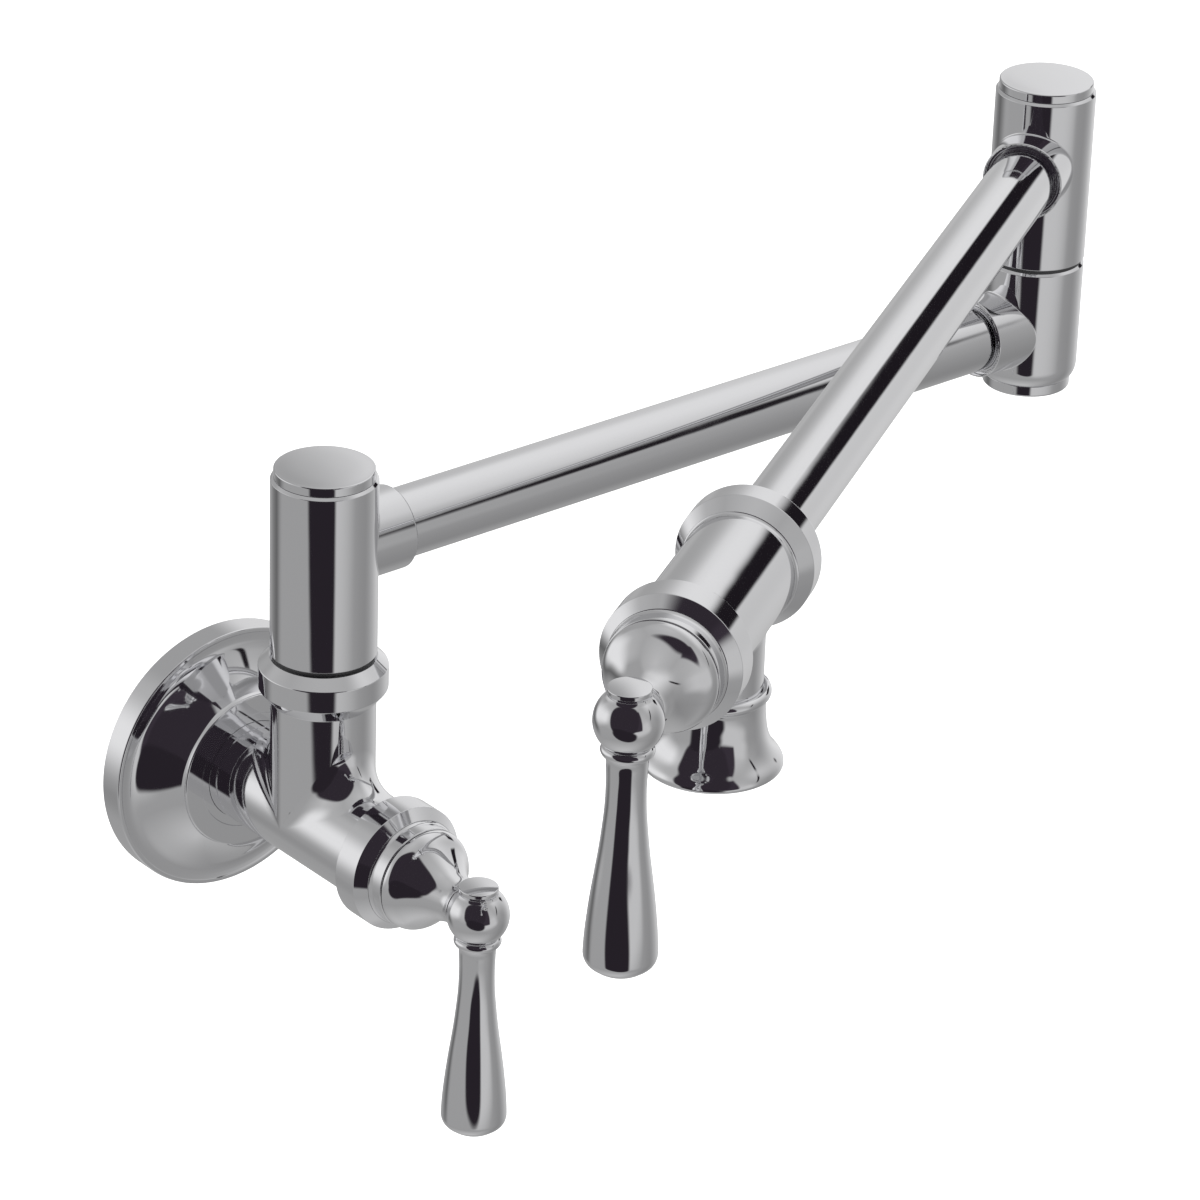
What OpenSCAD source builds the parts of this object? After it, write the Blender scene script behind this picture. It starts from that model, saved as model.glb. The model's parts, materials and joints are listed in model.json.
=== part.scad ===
// Wall-mounted double-jointed pot filler, with a quarter-turn lever valve at the wall and one at the spout.
// Millimetres. The origin is the middle of the wall flange's back face, +Z up, -Y out of the wall.
// +X is the way the first arm points in the stored pose.

/* [Arms] */
// Distance between the two upright swivel axes
arm_1_length = 256; // [200:1:340]
// Distance from the elbow axis to the spout's outlet axis
arm_2_length = 306; // [300:1:420]
// Outside diameter of both arm tubes
tube_d = 19.05; // [17.5:0.05:20]
// Wall of both arm tubes
tube_wall = 1.2; // [0.8:0.1:2]
// Angle between the two arms in the stored pose
fold_angle = 31.6; // [10:0.1:180]

/* [Wall flange] */
// Diameter of the flange
flange_d = 76; // [70:0.5:90]
// Height of the flange's straight rim
rim_height = 7.3; // [5:0.1:9]
// Wall of the pressed flange
flange_wall = 1.6; // [1:0.1:2]
// Diameter of the flange's raised boss
boss_d = 43.6; // [40:0.2:48]
// Height of the boss above the wall
boss_height = 16.5; // [14:0.1:19]
// Distance from the wall to the first upright swivel axis
post_out = 48.2; // [46:0.2:60]
// Bore of the inlet thread, for a half-inch pipe nipple
thread_d = 18.6; // [17.6:0.1:19.6]
// Depth of the inlet thread
thread_depth = 16; // [12:0.5:18]

/* [Wall plate] */
// Diameter of the hidden mounting plate
plate_d = 64; // [60:0.5:66]
// Thickness of the mounting plate
plate_t = 2.5; // [1.5:0.1:3]
// Diameter of the circle of wall screws
screw_circle_d = 52; // [50:0.5:54]
// Diameter of each wall screw hole
screw_hole_d = 5; // [4:0.1:5.5]
// Number of wall screw holes
screw_count = 4; // [3:1:4]
// Height of the plate's clamping collar above the wall
plate_collar_h = 11; // [9:0.2:13]

/* [Swivel posts] */
// Outside diameter of the swivel sleeves
sleeve_d = 28.6; // [27.6:0.1:30]
// Height of a swivel sleeve up to its top chamfer
sleeve_h = 50; // [48:0.5:56]
// Height of an arm's axis above the bottom of its swivel sleeve
arm_above_sleeve = 30; // [29:0.2:32]
// Height of the first swivel sleeve's bottom above the inlet axis
sleeve_1_z = 49.7; // [44:0.1:60]
// Diameter of the fixed post that a sleeve turns on
spindle_d = 21; // [20:0.1:21.6]
// Waterway through a post
waterway_d = 12.4; // [10:0.1:13]
// Radial running clearance of a sleeve on its post
running_gap = 0.05; // [0.02:0.01:0.09]
// Height of the bearing washer between a sleeve and what it stands on
swivel_gap = 1.2; // [0.8:0.1:2]
// Diameter of the sleeves' top caps
cap_d = 26.9; // [25.8:0.1:27.2]
// Height of a top cap that shows above its sleeve
cap_h = 2.7; // [2:0.1:4]
// Outside diameter of an arm socket
socket_d = 23; // [22.2:0.1:24]
// Reach of an arm socket from the upright axis
socket_reach = 22.3; // [21:0.1:26]
// Height of the elbow's lower sleeve above the first arm's axis
elbow_above_arm = 20.05; // [19:0.05:24]
// Depth of the elbow's lower sleeve below the first arm's axis
elbow_below_arm = 15.7; // [14.5:0.1:18]
// Height of the elbow's bottom cap
bottom_cap_h = 3.3; // [2.5:0.1:4]
// Diameter of the elbow's bottom cap
bottom_cap_d = 25.3; // [24.4:0.1:26]

/* [Valve bodies] */
// Outside diameter of the valve bodies and of the upright neck
body_d = 28.4; // [27.4:0.1:30]
// Diameter of the valve bodies' raised rings
ring_d = 35; // [34:0.1:37]
// Distance from a valve's upright axis to the start of its front ring
ring_start = 28.65; // [27:0.05:32]
// Length of the front ring before its chamfer
ring_length = 8.05; // [7:0.05:10]
// Length of the chamfer on a ring
ring_chamfer = 2.7; // [2:0.1:3.2]
// Bore that holds a cartridge
chamber_d = 19; // [18.4:0.1:19.6]
// Radius of the throats where the inlet body's upright neck runs into it
throat_r = 4.5; // [3:0.1:7]
// Diameter of the collar under the first swivel sleeve
collar_d = 34.8; // [33.8:0.1:36]
// Height of the collar
collar_h = 12.9; // [11:0.1:15]
// Length of the round ring between a valve body and its handle
bonnet_length = 4.6; // [4:0.1:6]
// Length of the rear ring on the outlet valve, without its chamfers
rear_ring_length = 6.4; // [5:0.1:8]
// Distance from the outlet axis to the front edge of the rear ring
rear_ring_back = 20.5; // [19.5:0.1:23]
// Length of the slope in front of the rear ring
rear_ring_slope = 3.8; // [3:0.1:4.4]

/* [Handles] */
// Distance from a valve's upright axis to the middle of its handle's ball
ball_out = 67.3; // [66:0.1:72]
// Diameter of the ball
ball_d = 16.6; // [15.6:0.1:18]
// Narrowest diameter of the handle's neck
handle_neck_d = 11.9; // [11.2:0.1:12.6]
// Length of a lever from the ball's middle to its tip
lever_length = 65.8; // [60:0.1:80]
// Widest diameter of a lever
lever_d = 17.5; // [15:0.1:19]
// Waist diameter of a lever
lever_waist_d = 9.46; // [8.6:0.1:11]
// Diameter of the button on top of the ball
button_d = 10.5; // [9.6:0.1:11.2]
// Diameter of a valve stem
stem_d = 8; // [7.4:0.1:8.4]

/* [Outlet nozzle] */
// Outside diameter of the neck above the nozzle
outlet_neck_d = 23.3; // [22.6:0.1:24.4]
// Distance from the second arm's axis down to the nozzle's top
nozzle_top = 22.4; // [21:0.1:26]
// Height of the nozzle
nozzle_h = 21.7; // [21:0.1:28]
// Diameter of the nozzle's lip
lip_d = 34.8; // [33:0.1:38]
// Diameter of the nozzle's waist, under its bead
nozzle_waist_d = 25; // [24.4:0.1:26]
// Diameter of the bead round the top of the nozzle
bead_d = 27.2; // [26.6:0.1:29]
// Diameter of the aerator
aerator_d = 22; // [21:0.1:22.4]

/* [Hidden] */

// Finishes
chrome = "silver";
brass = "goldenrod";
steel = "lightslategray";
rubber = "dimgray";
bearing = "darkslategray";
nylon = "whitesmoke";
ceramic = "linen";

// Fineness of round pieces, and a little more than nothing, for cuts that run past a face
round_faces = 96;
past = 0.5;
throat_faces = 64;

// Fits
fit_gap = 0.05;      // radial gap of a piece fixed in a bore
seam_gap = 0.25;     // gap between a handle and its bonnet ring
lift = 0.03;         // gap under a face that slides on another
edge_r = 0.5;        // small rounding on turned edges
throat_inset = 0.04; // how far a throat's pipe lies inside the skins that it joins

// Heights of the two arms and of the elbow
arm_1_z = sleeve_1_z + arm_above_sleeve;
elbow_top_z = arm_1_z + elbow_above_arm;
elbow_bottom_z = arm_1_z - elbow_below_arm;
sleeve_2_z = elbow_top_z + swivel_gap;
arm_2_z = sleeve_2_z + arm_above_sleeve;

// Radii
tube_r = tube_d / 2;
tube_bore_r = tube_r - tube_wall;
sleeve_r = sleeve_d / 2;
spindle_r = spindle_d / 2;
sleeve_bore_r = spindle_r + running_gap;
waterway_r = waterway_d / 2;
body_r = body_d / 2;
ring_r = ring_d / 2;
chamber_r = chamber_d / 2;
flange_r = flange_d / 2;
boss_r = boss_d / 2;
ball_r = ball_d / 2;
stem_r = stem_d / 2;
button_r = button_d / 2;

// Sleeve details
sleeve_chamfer = 0.7;
keeper_pocket_h = 6.3;                         // pocket at the top of a sleeve, from its chamfer's edge down
keeper_pocket_r = spindle_r + 2.1;
keeper_t = 1.4;
keeper_r = keeper_pocket_r - 0.3;
keeper_screw_r = 2.6;
keeper_screw_head_r = 4.6;
keeper_screw_head_h = 2.2;
keeper_screw_length = 9;
keeper_gap = 0.1;                              // between the keeper and the sleeve's shoulder
spindle_rise = sleeve_h - keeper_pocket_h + keeper_gap;
cap_spigot_h = 2.8;
port_r = 5;
groove_half_h = 6.5;                           // half the height of the water groove round a post
groove_depth = 1.9;
spindle_depth = 26.5;                          // how far the first post reaches into the tee's neck
seal_r = 0.95;
seal_groove_half_h = 1.2;
seal_groove_depth = 1.6;
washer_margin = 0.7;
low_seal = 8;                                  // heights of the two running seals above a sleeve's bottom
high_seal = sleeve_h - 10.5;

// Arm tube seats
gasket_t = 1;
tube_seat = socket_reach - 9.8;                // where a tube ends, from the upright axis
socket_edge_r = 0.5;

// Valve body details
collar_top_z = sleeve_1_z - swivel_gap;
collar_bottom_z = collar_top_z - collar_h;
collar_r = collar_d / 2;
collar_top_inset = 2.2;
collar_top_fall = 3.1;
body_front = ring_start + ring_length + ring_chamfer;
ring_foot_r = ring_r - ring_chamfer;
chamber_back = -10;
passage_r = 6.5;
counterbore_r = chamber_r + 2;
counterbore_depth = 9.4;
cartridge_flange_t = 3;
cartridge_flange_z = body_front - counterbore_depth;
cartridge_wall = 1.6;
cartridge_neck_r = stem_r + 2.2;
cartridge_front = body_front + bonnet_length + 2;
seat_seal_t = 2.5;
disc_t = 2.8;
seat_z = chamber_back + seat_seal_t;
disc_r = chamber_r - fit_gap - cartridge_wall - 0.1;
bonnet_r = body_r + 0.08;
bonnet_front = body_front + bonnet_length;
window_w = 10;
window_from = -1.4;
window_to = 7.2;
stem_back = seat_z + 2 * disc_t + lift;
stem_front = bonnet_front + 11.5;
driver_t = 1.4;

// Handle details
hub_back = bonnet_front + seam_gap;
hub_r = bonnet_r - 0.2;
hub_shoulder_r = 3.4;
hub_shoulder_turn = 50;
hub_wall = 2.6;
neck_z = ball_out - 7.4;
neck_flare_r = 3;
neck_flare_turn = 35;
lever_seat = ball_r * 0.72;
button_seat = ball_r * 0.8;
stud_r = 3;
set_screw_r = 2;
set_screw_z = bonnet_front + 8.4;

// Nozzle details
spigot_r = 9;
spigot_h = 8.6;
nozzle_bottom = nozzle_top + nozzle_h;
aerator_top = nozzle_top + spigot_h + 1.6;
aerator_recess = 2.2;
aerator_bottom = nozzle_bottom - aerator_recess;
aerator_r = aerator_d / 2;
aerator_wall = 1.3;
lip_r = lip_d / 2;

// Points of an arc about (cx, cy), from angle a0 to a1, in n steps
function arc(cx, cy, r, a0, a1, n = 8) =
    [for (i = [0 : n]) let (a = a0 + (a1 - a0) * i / n) [cx + r * cos(a), cy + r * sin(a)]];

// Points of a cubic curve from p0 to p3, with p1 and p2 setting its end directions
function curve(p0, p1, p2, p3, n = 10) =
    [for (i = [0 : n]) let (t = i / n, u = 1 - t)
        u * u * u * p0 + 3 * u * u * t * p1 + 3 * u * t * t * p2 + t * t * t * p3];

// A solid of revolution about Z, from an outline of radius and height
module turned(outline) rotate_extrude($fn = round_faces) polygon(outline);

// A plain round bar or hole from height z0 to z1
module bar(r, z0, z1) translate([0, 0, z0]) cylinder(r = r, h = z1 - z0, $fn = round_faces);

// A round ring from height z0 to z1
module ring(r_in, r_out, z0, z1) difference() {
    bar(r_out, z0, z1);
    bar(r_in, z0 - past, z1 + past);
}

// A seal of round section, centred at height z
module seal(r_mid, r_section, z) translate([0, 0, z])
    rotate_extrude($fn = round_faces) translate([r_mid, 0]) circle(r = r_section, $fn = 32);

// Places: local Z runs out along the valve's axis and local Y is up
module at_inlet_valve() translate([0, -post_out, 0]) rotate([90, 0, 0]) children();
module at_wall() rotate([90, 0, 0]) children();
module at_post() translate([0, -post_out, 0]) children();
module at_arm_1() translate([0, -post_out, arm_1_z]) rotate([0, 90, 0]) children();
module at_elbow() translate([arm_1_length, -post_out, 0]) children();
module at_elbow_turned() at_elbow() rotate([0, 0, fold_angle - 180]) children();
module at_arm_2() at_elbow_turned() translate([0, 0, arm_2_z]) rotate([0, 90, 0]) children();
module at_outlet_axis() at_elbow_turned() translate([arm_2_length, 0, arm_2_z]) children();
module at_outlet_valve() at_outlet_axis() rotate([90, 0, 90]) children();
// Local Z runs down the lever from the ball's middle
module at_ball() translate([0, 0, ball_out]) rotate([90, 0, 0]) children();

// The dished cover on the wall: straight rim, rolled lip, hollow sweep and a flat-topped boss
lip_w = 1.1;
sweep_drop = 1.4;
dish_outer = concat(
    [[flange_r, 0], [flange_r, rim_height - edge_r]],
    arc(flange_r - edge_r, rim_height - edge_r, edge_r, 0, 90, 4),
    [[flange_r - lip_w, rim_height]],
    curve([flange_r - lip_w, rim_height], [flange_r - 0.25 * (flange_r - boss_r), rim_height - sweep_drop],
          [boss_r + 0.3 * (flange_r - boss_r), rim_height - 0.4], [boss_r + 0.6, boss_height - 1.4], 14),
    arc(boss_r - edge_r, boss_height - edge_r, edge_r, 0, 90, 4));
dish_inner = concat(
    [[flange_r - flange_wall, -past], [flange_r - flange_wall, rim_height - flange_wall - edge_r]],
    curve([flange_r - flange_wall - 0.6, rim_height - flange_wall - 0.5],
          [flange_r - 0.25 * (flange_r - boss_r) - 0.6, rim_height - sweep_drop - flange_wall],
          [boss_r + 0.3 * (flange_r - boss_r) - 1, rim_height - flange_wall - 0.4],
          [boss_r - flange_wall + 0.4, boss_height - flange_wall - 2], 12),
    [[boss_r - flange_wall, boss_height - flange_wall], [0, boss_height - flange_wall], [0, -past]]);

flange_bore_gap = 0.15;
flange_ring_r = 1;
flange_ring_lip = 3.2;                         // collar inside the boss that holds the grip ring
boss_inside = boss_height - flange_wall;

module flange() color(chrome) at_wall() difference() {
    union() {
        difference() {
            turned(concat([[0, 0]], dish_outer, [[0, boss_height]]));
            turned(dish_inner);
        }
        ring(body_r, body_r + flange_ring_lip, boss_inside - 3.4, boss_inside + flange_wall / 2);
    }
    bar(body_r + flange_bore_gap, -past, boss_height + past);
    bar(body_r + 2 * flange_ring_r - 0.2, boss_inside - 3.4 - past, boss_inside - 0.9);
}

// Rubber ring inside the boss that grips the pipe
module flange_ring() color(rubber) at_wall()
    seal(body_r + flange_ring_r - 0.12, flange_ring_r - 0.14, boss_inside - 2.1);

// Screws to the wall, and its collar clamps the valve body's shank
plate_collar_wall = 4;
module wall_plate() color(steel) at_wall() difference() {
    union() {
        bar(plate_d / 2, 0, plate_t);
        bar(body_r + plate_collar_wall, 0, plate_collar_h);
    }
    bar(body_r + fit_gap, -past, plate_collar_h + past);
    for (i = [0 : screw_count - 1])
        rotate([0, 0, 45 + 360 * i / screw_count]) translate([screw_circle_d / 2, 0, 0])
            bar(screw_hole_d / 2, -past, plate_t + past);
    shank_screw_places() bar(set_screw_r + fit_gap, body_r - past, body_r + plate_collar_wall + past);
}

// The two grub screws run in from below, either side of the middle
module shank_screw_places() for (side = [-1, 1])
    rotate([0, 0, 180 + side * 35])
        translate([0, 0, (plate_t + plate_collar_h) / 2]) rotate([-90, 0, 0]) children();

module shank_screws() color(steel) at_wall() shank_screw_places() difference() {
    bar(set_screw_r, body_r + lift, body_r + plate_collar_wall + 0.6);
    translate([0, 0, body_r + plate_collar_wall - 1.2]) cylinder(r = 1.15, h = 3, $fn = 6);
}

// Outline of a valve body's front ring, from its back edge to its front face
function ring_outline(z0, length) = [
    [ring_r - 0.3, z0], [ring_r, z0 + 0.3], [ring_r, z0 + length], [ring_foot_r, z0 + length + ring_chamfer]];

// Inlet valve body: shank to the wall, upright neck with its collar, and the front ring
module tee_body() color(chrome) difference() {
    union() {
        at_inlet_valve() turned(concat([[0, -post_out], [body_r, -post_out], [body_r, ring_start]],
            ring_outline(ring_start, ring_length), [[0, body_front]]));
        at_post() turned([[0, 0], [body_r, 0], [body_r, collar_bottom_z],
            [collar_r, collar_bottom_z + collar_r - body_r + 0.8],
            [collar_r, collar_top_z - collar_top_fall], [collar_r - collar_top_inset, collar_top_z],
            [0, collar_top_z]]);
        at_post() for (side = [0, 180]) rotate([0, 0, side]) throat();
    }
    at_wall() bar(thread_d / 2, -past, thread_depth);
    at_inlet_valve() valve_cuts(-post_out + thread_depth - past);
    at_post() {
        bar(waterway_r, 0, collar_top_z);
        bar(spindle_r + fit_gap, collar_top_z - spindle_depth, collar_top_z + past);
    }
}

// Bent quarter of pipe whose inner side is a throat between the neck and the body
throat_bend = throat_r + body_r;
module throat() translate([0, -throat_bend, throat_bend]) rotate([0, 90, 0])
    rotate_extrude(angle = 90, $fn = throat_faces) translate([throat_bend, 0])
        circle(r = body_r - throat_inset, $fn = throat_faces);

// Chamber, front counterbore and rear passage of a valve body
module valve_cuts(passage_from) {
    bar(chamber_r, chamber_back, body_front + past);
    bar(counterbore_r, cartridge_flange_z, body_front + past);
    bar(passage_r, passage_from, chamber_back + past);
}

// Hollow post that a sleeve turns on. Ports at each height in port_heights feed the arms.
module swivel_post(z0, z1, port_heights, bore_from, seal_heights) color(brass) difference() {
    bar(spindle_r, z0, z1);
    bar(waterway_r, bore_from, port_heights[len(port_heights) - 1] + groove_half_h);
    for (z = port_heights) {
        ring(spindle_r - groove_depth, spindle_r + past, z - groove_half_h, z + groove_half_h);
        for (a = [0, 90])
            translate([0, 0, z]) rotate([90, 0, a]) bar(port_r, -spindle_r - past, spindle_r + past);
    }
    for (z = seal_heights)
        ring(spindle_r - seal_groove_depth, spindle_r + past, z - seal_groove_half_h, z + seal_groove_half_h);
    bar(keeper_screw_r + fit_gap, z1 - keeper_screw_length, z1 + past);
}

module swivel_seals(seal_heights) color(rubber)
    for (z = seal_heights) seal(spindle_r - seal_groove_depth + seal_r, seal_r - 0.32, z);

// Thin dark ring that a sleeve's bottom face turns on
module swivel_washer(z) color(bearing)
    ring(spindle_r + 0.2, sleeve_r - washer_margin, z, z + swivel_gap - lift);

// Steel disc over a post's top, which stops the sleeve from lifting off
module keeper(z) color(steel) ring(keeper_screw_r + 0.2, keeper_r, z, z + keeper_t);

module keeper_screw(z) color(steel) translate([0, 0, z + keeper_t]) difference() {
    union() {
        bar(keeper_screw_r, 0.4 - keeper_screw_length - keeper_t, past);
        turned([[0, 0], [keeper_screw_head_r, 0], [keeper_screw_head_r, keeper_screw_head_h - 0.8],
            [keeper_screw_head_r - 0.8, keeper_screw_head_h], [0, keeper_screw_head_h]]);
    }
    translate([0, 0, 0.6]) cylinder(r = 2.3, h = keeper_screw_head_h, $fn = 6);
}

wall_spindle_bottom = collar_top_z - spindle_depth;
wall_spindle_top = sleeve_1_z + spindle_rise;
wall_seal_heights = [collar_top_z - 12, sleeve_1_z + low_seal, sleeve_1_z + high_seal];

module wall_swivel_post() at_post()
    swivel_post(wall_spindle_bottom, wall_spindle_top, [arm_1_z],
        wall_spindle_bottom - past, wall_seal_heights);
module wall_swivel_seals() at_post() swivel_seals(wall_seal_heights);
module wall_swivel_washer() at_post() swivel_washer(collar_top_z);
module wall_keeper() at_post() keeper(wall_spindle_top);
module wall_keeper_screw() at_post() keeper_screw(wall_spindle_top);

elbow_spindle_bottom = elbow_bottom_z + 5;
elbow_spindle_top = sleeve_2_z + spindle_rise;
elbow_seal_heights = [arm_1_z + groove_half_h + 5, sleeve_2_z + low_seal, sleeve_2_z + high_seal];

module elbow_swivel_post() at_elbow()
    swivel_post(elbow_spindle_bottom, elbow_spindle_top, [arm_1_z, arm_2_z],
        arm_1_z - groove_half_h, elbow_seal_heights);
module elbow_swivel_seals() at_elbow() swivel_seals(elbow_seal_heights);
module elbow_swivel_washer() at_elbow() swivel_washer(elbow_top_z);
module elbow_keeper() at_elbow() keeper(elbow_spindle_top);
module elbow_keeper_screw() at_elbow() keeper_screw(elbow_spindle_top);

// Side socket along local Z, with a rounded mouth
module socket_solid() turned(concat(
    [[0, 0], [socket_d / 2, 0]],
    arc(socket_d / 2 - socket_edge_r, socket_reach - socket_edge_r, socket_edge_r, 0, 90, 4),
    [[0, socket_reach]]));
module socket_cut() {
    bar(tube_r + fit_gap, tube_seat - gasket_t, socket_reach + past);
    bar(tube_bore_r - 0.6, spindle_r - 1, tube_seat);
}

// Turning sleeve with its top pocket. Children give the socket's direction.
module sleeve(z0) color(chrome) difference() {
    union() {
        turned([[0, z0], [sleeve_r, z0], [sleeve_r, z0 + sleeve_h],
            [sleeve_r - sleeve_chamfer, z0 + sleeve_h + sleeve_chamfer],
            [0, z0 + sleeve_h + sleeve_chamfer]]);
        translate([0, 0, z0 + arm_above_sleeve]) rotate([0, 90, 0]) socket_solid();
    }
    bar(sleeve_bore_r, z0 - past, z0 + sleeve_h + past);
    bar(keeper_pocket_r, z0 + sleeve_h - keeper_pocket_h, z0 + sleeve_h + sleeve_chamfer + past);
    translate([0, 0, z0 + arm_above_sleeve]) rotate([0, 90, 0]) socket_cut();
}

// Shallow domed cap with a spigot that fits the sleeve's pocket
cap_dome = 0.3;
module sleeve_cap(z0) color(chrome) turned(concat(
    [[0, z0 - cap_spigot_h], [keeper_pocket_r - fit_gap, z0 - cap_spigot_h], [keeper_pocket_r - fit_gap, z0],
        [cap_d / 2, z0]],
    arc(cap_d / 2 - edge_r, z0 + cap_h - edge_r - cap_dome, edge_r, 0, 80, 4),
    [[cap_d / 4, z0 + cap_h - cap_dome / 4], [0, z0 + cap_h]]));

module arm_1_sleeve() at_post() sleeve(sleeve_1_z);
module arm_1_cap() at_post() sleeve_cap(sleeve_1_z + sleeve_h + sleeve_chamfer);
module arm_2_sleeve() at_elbow_turned() sleeve(sleeve_2_z);
module arm_2_cap() at_elbow_turned() sleeve_cap(sleeve_2_z + sleeve_h + sleeve_chamfer);

module arm_tube(z0, z1) color(chrome) ring(tube_bore_r, tube_r, z0, z1);
module arm_gaskets(z0, z1) color(rubber)
    for (z = [z0 - gasket_t, z1]) ring(tube_bore_r - 0.4, tube_r, z, z + gasket_t);

module arm_1_tube() at_arm_1() arm_tube(tube_seat, arm_1_length - tube_seat);
module arm_1_gaskets() at_arm_1() arm_gaskets(tube_seat, arm_1_length - tube_seat);

// Fixed half of the elbow: the first arm's far socket, and the seat of the second post
bottom_round_h = 4.2;
module elbow_lower_sleeve() color(chrome) at_elbow() difference() {
    union() {
        turned(concat([[0, elbow_bottom_z]],
            curve([bottom_cap_d / 2, elbow_bottom_z], [sleeve_r - 0.5, elbow_bottom_z + 1.2],
                  [sleeve_r, elbow_bottom_z + 2.6], [sleeve_r, elbow_bottom_z + bottom_round_h], 6),
            [[sleeve_r, elbow_top_z - sleeve_chamfer], [sleeve_r - sleeve_chamfer, elbow_top_z],
                [0, elbow_top_z]]));
        translate([0, 0, arm_1_z]) rotate([0, -90, 0]) socket_solid();
    }
    bar(spindle_r + fit_gap, elbow_bottom_z - past, elbow_top_z + past);
    translate([0, 0, arm_1_z]) rotate([0, -90, 0]) socket_cut();
}

module elbow_bottom_cap() color(chrome) at_elbow() turned(concat([[0, elbow_bottom_z - bottom_cap_h]],
    arc(bottom_cap_d / 2 - edge_r, elbow_bottom_z - bottom_cap_h + edge_r, edge_r, -90, 0, 4),
    [[bottom_cap_d / 2, elbow_bottom_z], [spindle_r, elbow_bottom_z], [spindle_r, elbow_spindle_bottom],
        [0, elbow_spindle_bottom]]));

// Where the second tube ends inside the outlet valve's rear ring
rear_ring_start = rear_ring_back + rear_ring_length;
outlet_back = rear_ring_start + ring_chamfer;
rear_slope_end = rear_ring_slope - rear_ring_back;
outlet_tube_end = arm_2_length - outlet_back + 11;
module arm_2_tube() at_arm_2() arm_tube(tube_seat, outlet_tube_end);
module arm_2_gaskets() at_arm_2() arm_gaskets(tube_seat, outlet_tube_end);

// Outlet valve body: rear ring on the tube, cylinder, front ring and the neck down to the nozzle
module outlet_body() color(chrome) difference() {
    union() {
        at_outlet_valve() turned(concat(
            [[0, -outlet_back], [ring_foot_r, -outlet_back], [ring_r, -rear_ring_start],
                [ring_r, -rear_ring_back], [ring_foot_r, rear_slope_end], [body_r, rear_slope_end + 1.2],
                [body_r, ring_start]],
            ring_outline(ring_start, ring_length), [[0, body_front]]));
        at_outlet_axis() {
            bar(outlet_neck_d / 2, -nozzle_top, 0);
            bar(spigot_r, -nozzle_top - spigot_h, 0);
        }
    }
    at_outlet_valve() {
        valve_cuts(-outlet_back);
        bar(tube_r + fit_gap, -outlet_back - past, -(outlet_back - 11 - gasket_t));
    }
    at_outlet_axis() bar(waterway_r, -nozzle_top - spigot_h - past, 0);
}

// Bell-shaped nozzle: bead, waist and a flared lip
nozzle_outer = concat(
    [[outlet_neck_d / 2, -nozzle_top]],
    arc(bead_d / 2 - 1.5, -nozzle_top - 1.7, 1.5, 70, -70, 8),
    curve([nozzle_waist_d / 2, -nozzle_top - 3.7], [nozzle_waist_d / 2 - 0.1, -nozzle_top - 9],
          [nozzle_waist_d / 2 + 0.5, -nozzle_bottom + 9.4], [lip_r - 3.6, -nozzle_bottom + 6.4], 8),
    curve([lip_r - 3.6, -nozzle_bottom + 6.4], [lip_r - 2.8, -nozzle_bottom + 4.8],
          [lip_r - 0.5, -nozzle_bottom + 3.2], [lip_r, -nozzle_bottom + 1.1], 8),
    arc(lip_r - 0.9, -nozzle_bottom + 0.9, 0.9, 0, -90, 5));
mouth_r = lip_r - 2;
module outlet_nozzle() color(chrome) at_outlet_axis() difference() {
    turned(concat([[0, -nozzle_top]], nozzle_outer, [[0, -nozzle_bottom]]));
    bar(spigot_r + fit_gap, -nozzle_top - spigot_h - 0.8, -nozzle_top + past);
    bar(waterway_r, -nozzle_bottom, -nozzle_top);
    bar(aerator_r + fit_gap, -nozzle_bottom - past, -aerator_top);
    turned([[0, -nozzle_bottom - past], [mouth_r, -nozzle_bottom - past], [mouth_r, -nozzle_bottom],
        [aerator_r + fit_gap, -aerator_bottom], [0, -aerator_bottom]]);
}

module nozzle_washer() color(rubber) at_outlet_axis()
    ring(waterway_r, spigot_r, -nozzle_top - spigot_h - 0.8, -nozzle_top - spigot_h);

// Straightener: a plastic cup with two perforated plates
module aerator_housing() color(nylon) at_outlet_axis() difference() {
    bar(aerator_r, -aerator_bottom, -aerator_top);
    bar(aerator_r - aerator_wall, -aerator_bottom - past, -aerator_top - aerator_wall);
    bar(waterway_r, -aerator_top - aerator_wall - past, -aerator_top + past);
}

screen_t = 0.8;
screen_hole_r = 0.7;
module aerator_screens() color(steel) at_outlet_axis()
    for (z = [-aerator_bottom + 0.4, -aerator_bottom + 3.6]) difference() {
        bar(aerator_r - aerator_wall, z, z + screen_t);
        for (row = [1 : 3], i = [0 : row * 6 - 1])
            rotate([0, 0, i * 60 / row]) translate([row * 2.6, 0, 0])
                translate([0, 0, z - past]) cylinder(r = screen_hole_r, h = screen_t + 2 * past, $fn = 16);
    }

// Valve insides, shared by both valves. Local Z runs out along the valve's axis.
module cartridge() color(brass) difference() {
    union() {
        bar(chamber_r - fit_gap, seat_z, cartridge_flange_z + past);
        bar(counterbore_r - fit_gap, cartridge_flange_z, cartridge_flange_z + cartridge_flange_t);
        bar(cartridge_neck_r, cartridge_flange_z, cartridge_front);
    }
    bar(disc_r + 0.05, seat_z - past, cartridge_flange_z - 8);
    bar(stem_r + running_gap, seat_z, cartridge_front + past);
    translate([-window_w / 2, -chamber_r - past, window_from])
        cube([window_w, 2 * (chamber_r + past), window_to - window_from]);
    ring(chamber_r - 1.2, chamber_r + past, 12, 14.2);
}
module seat_seal() color(rubber) ring(passage_r - 1, chamber_r - fit_gap, chamber_back, seat_z);
module cartridge_seal() color(rubber) seal(chamber_r - 0.62, 0.55, 13.1);

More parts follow.
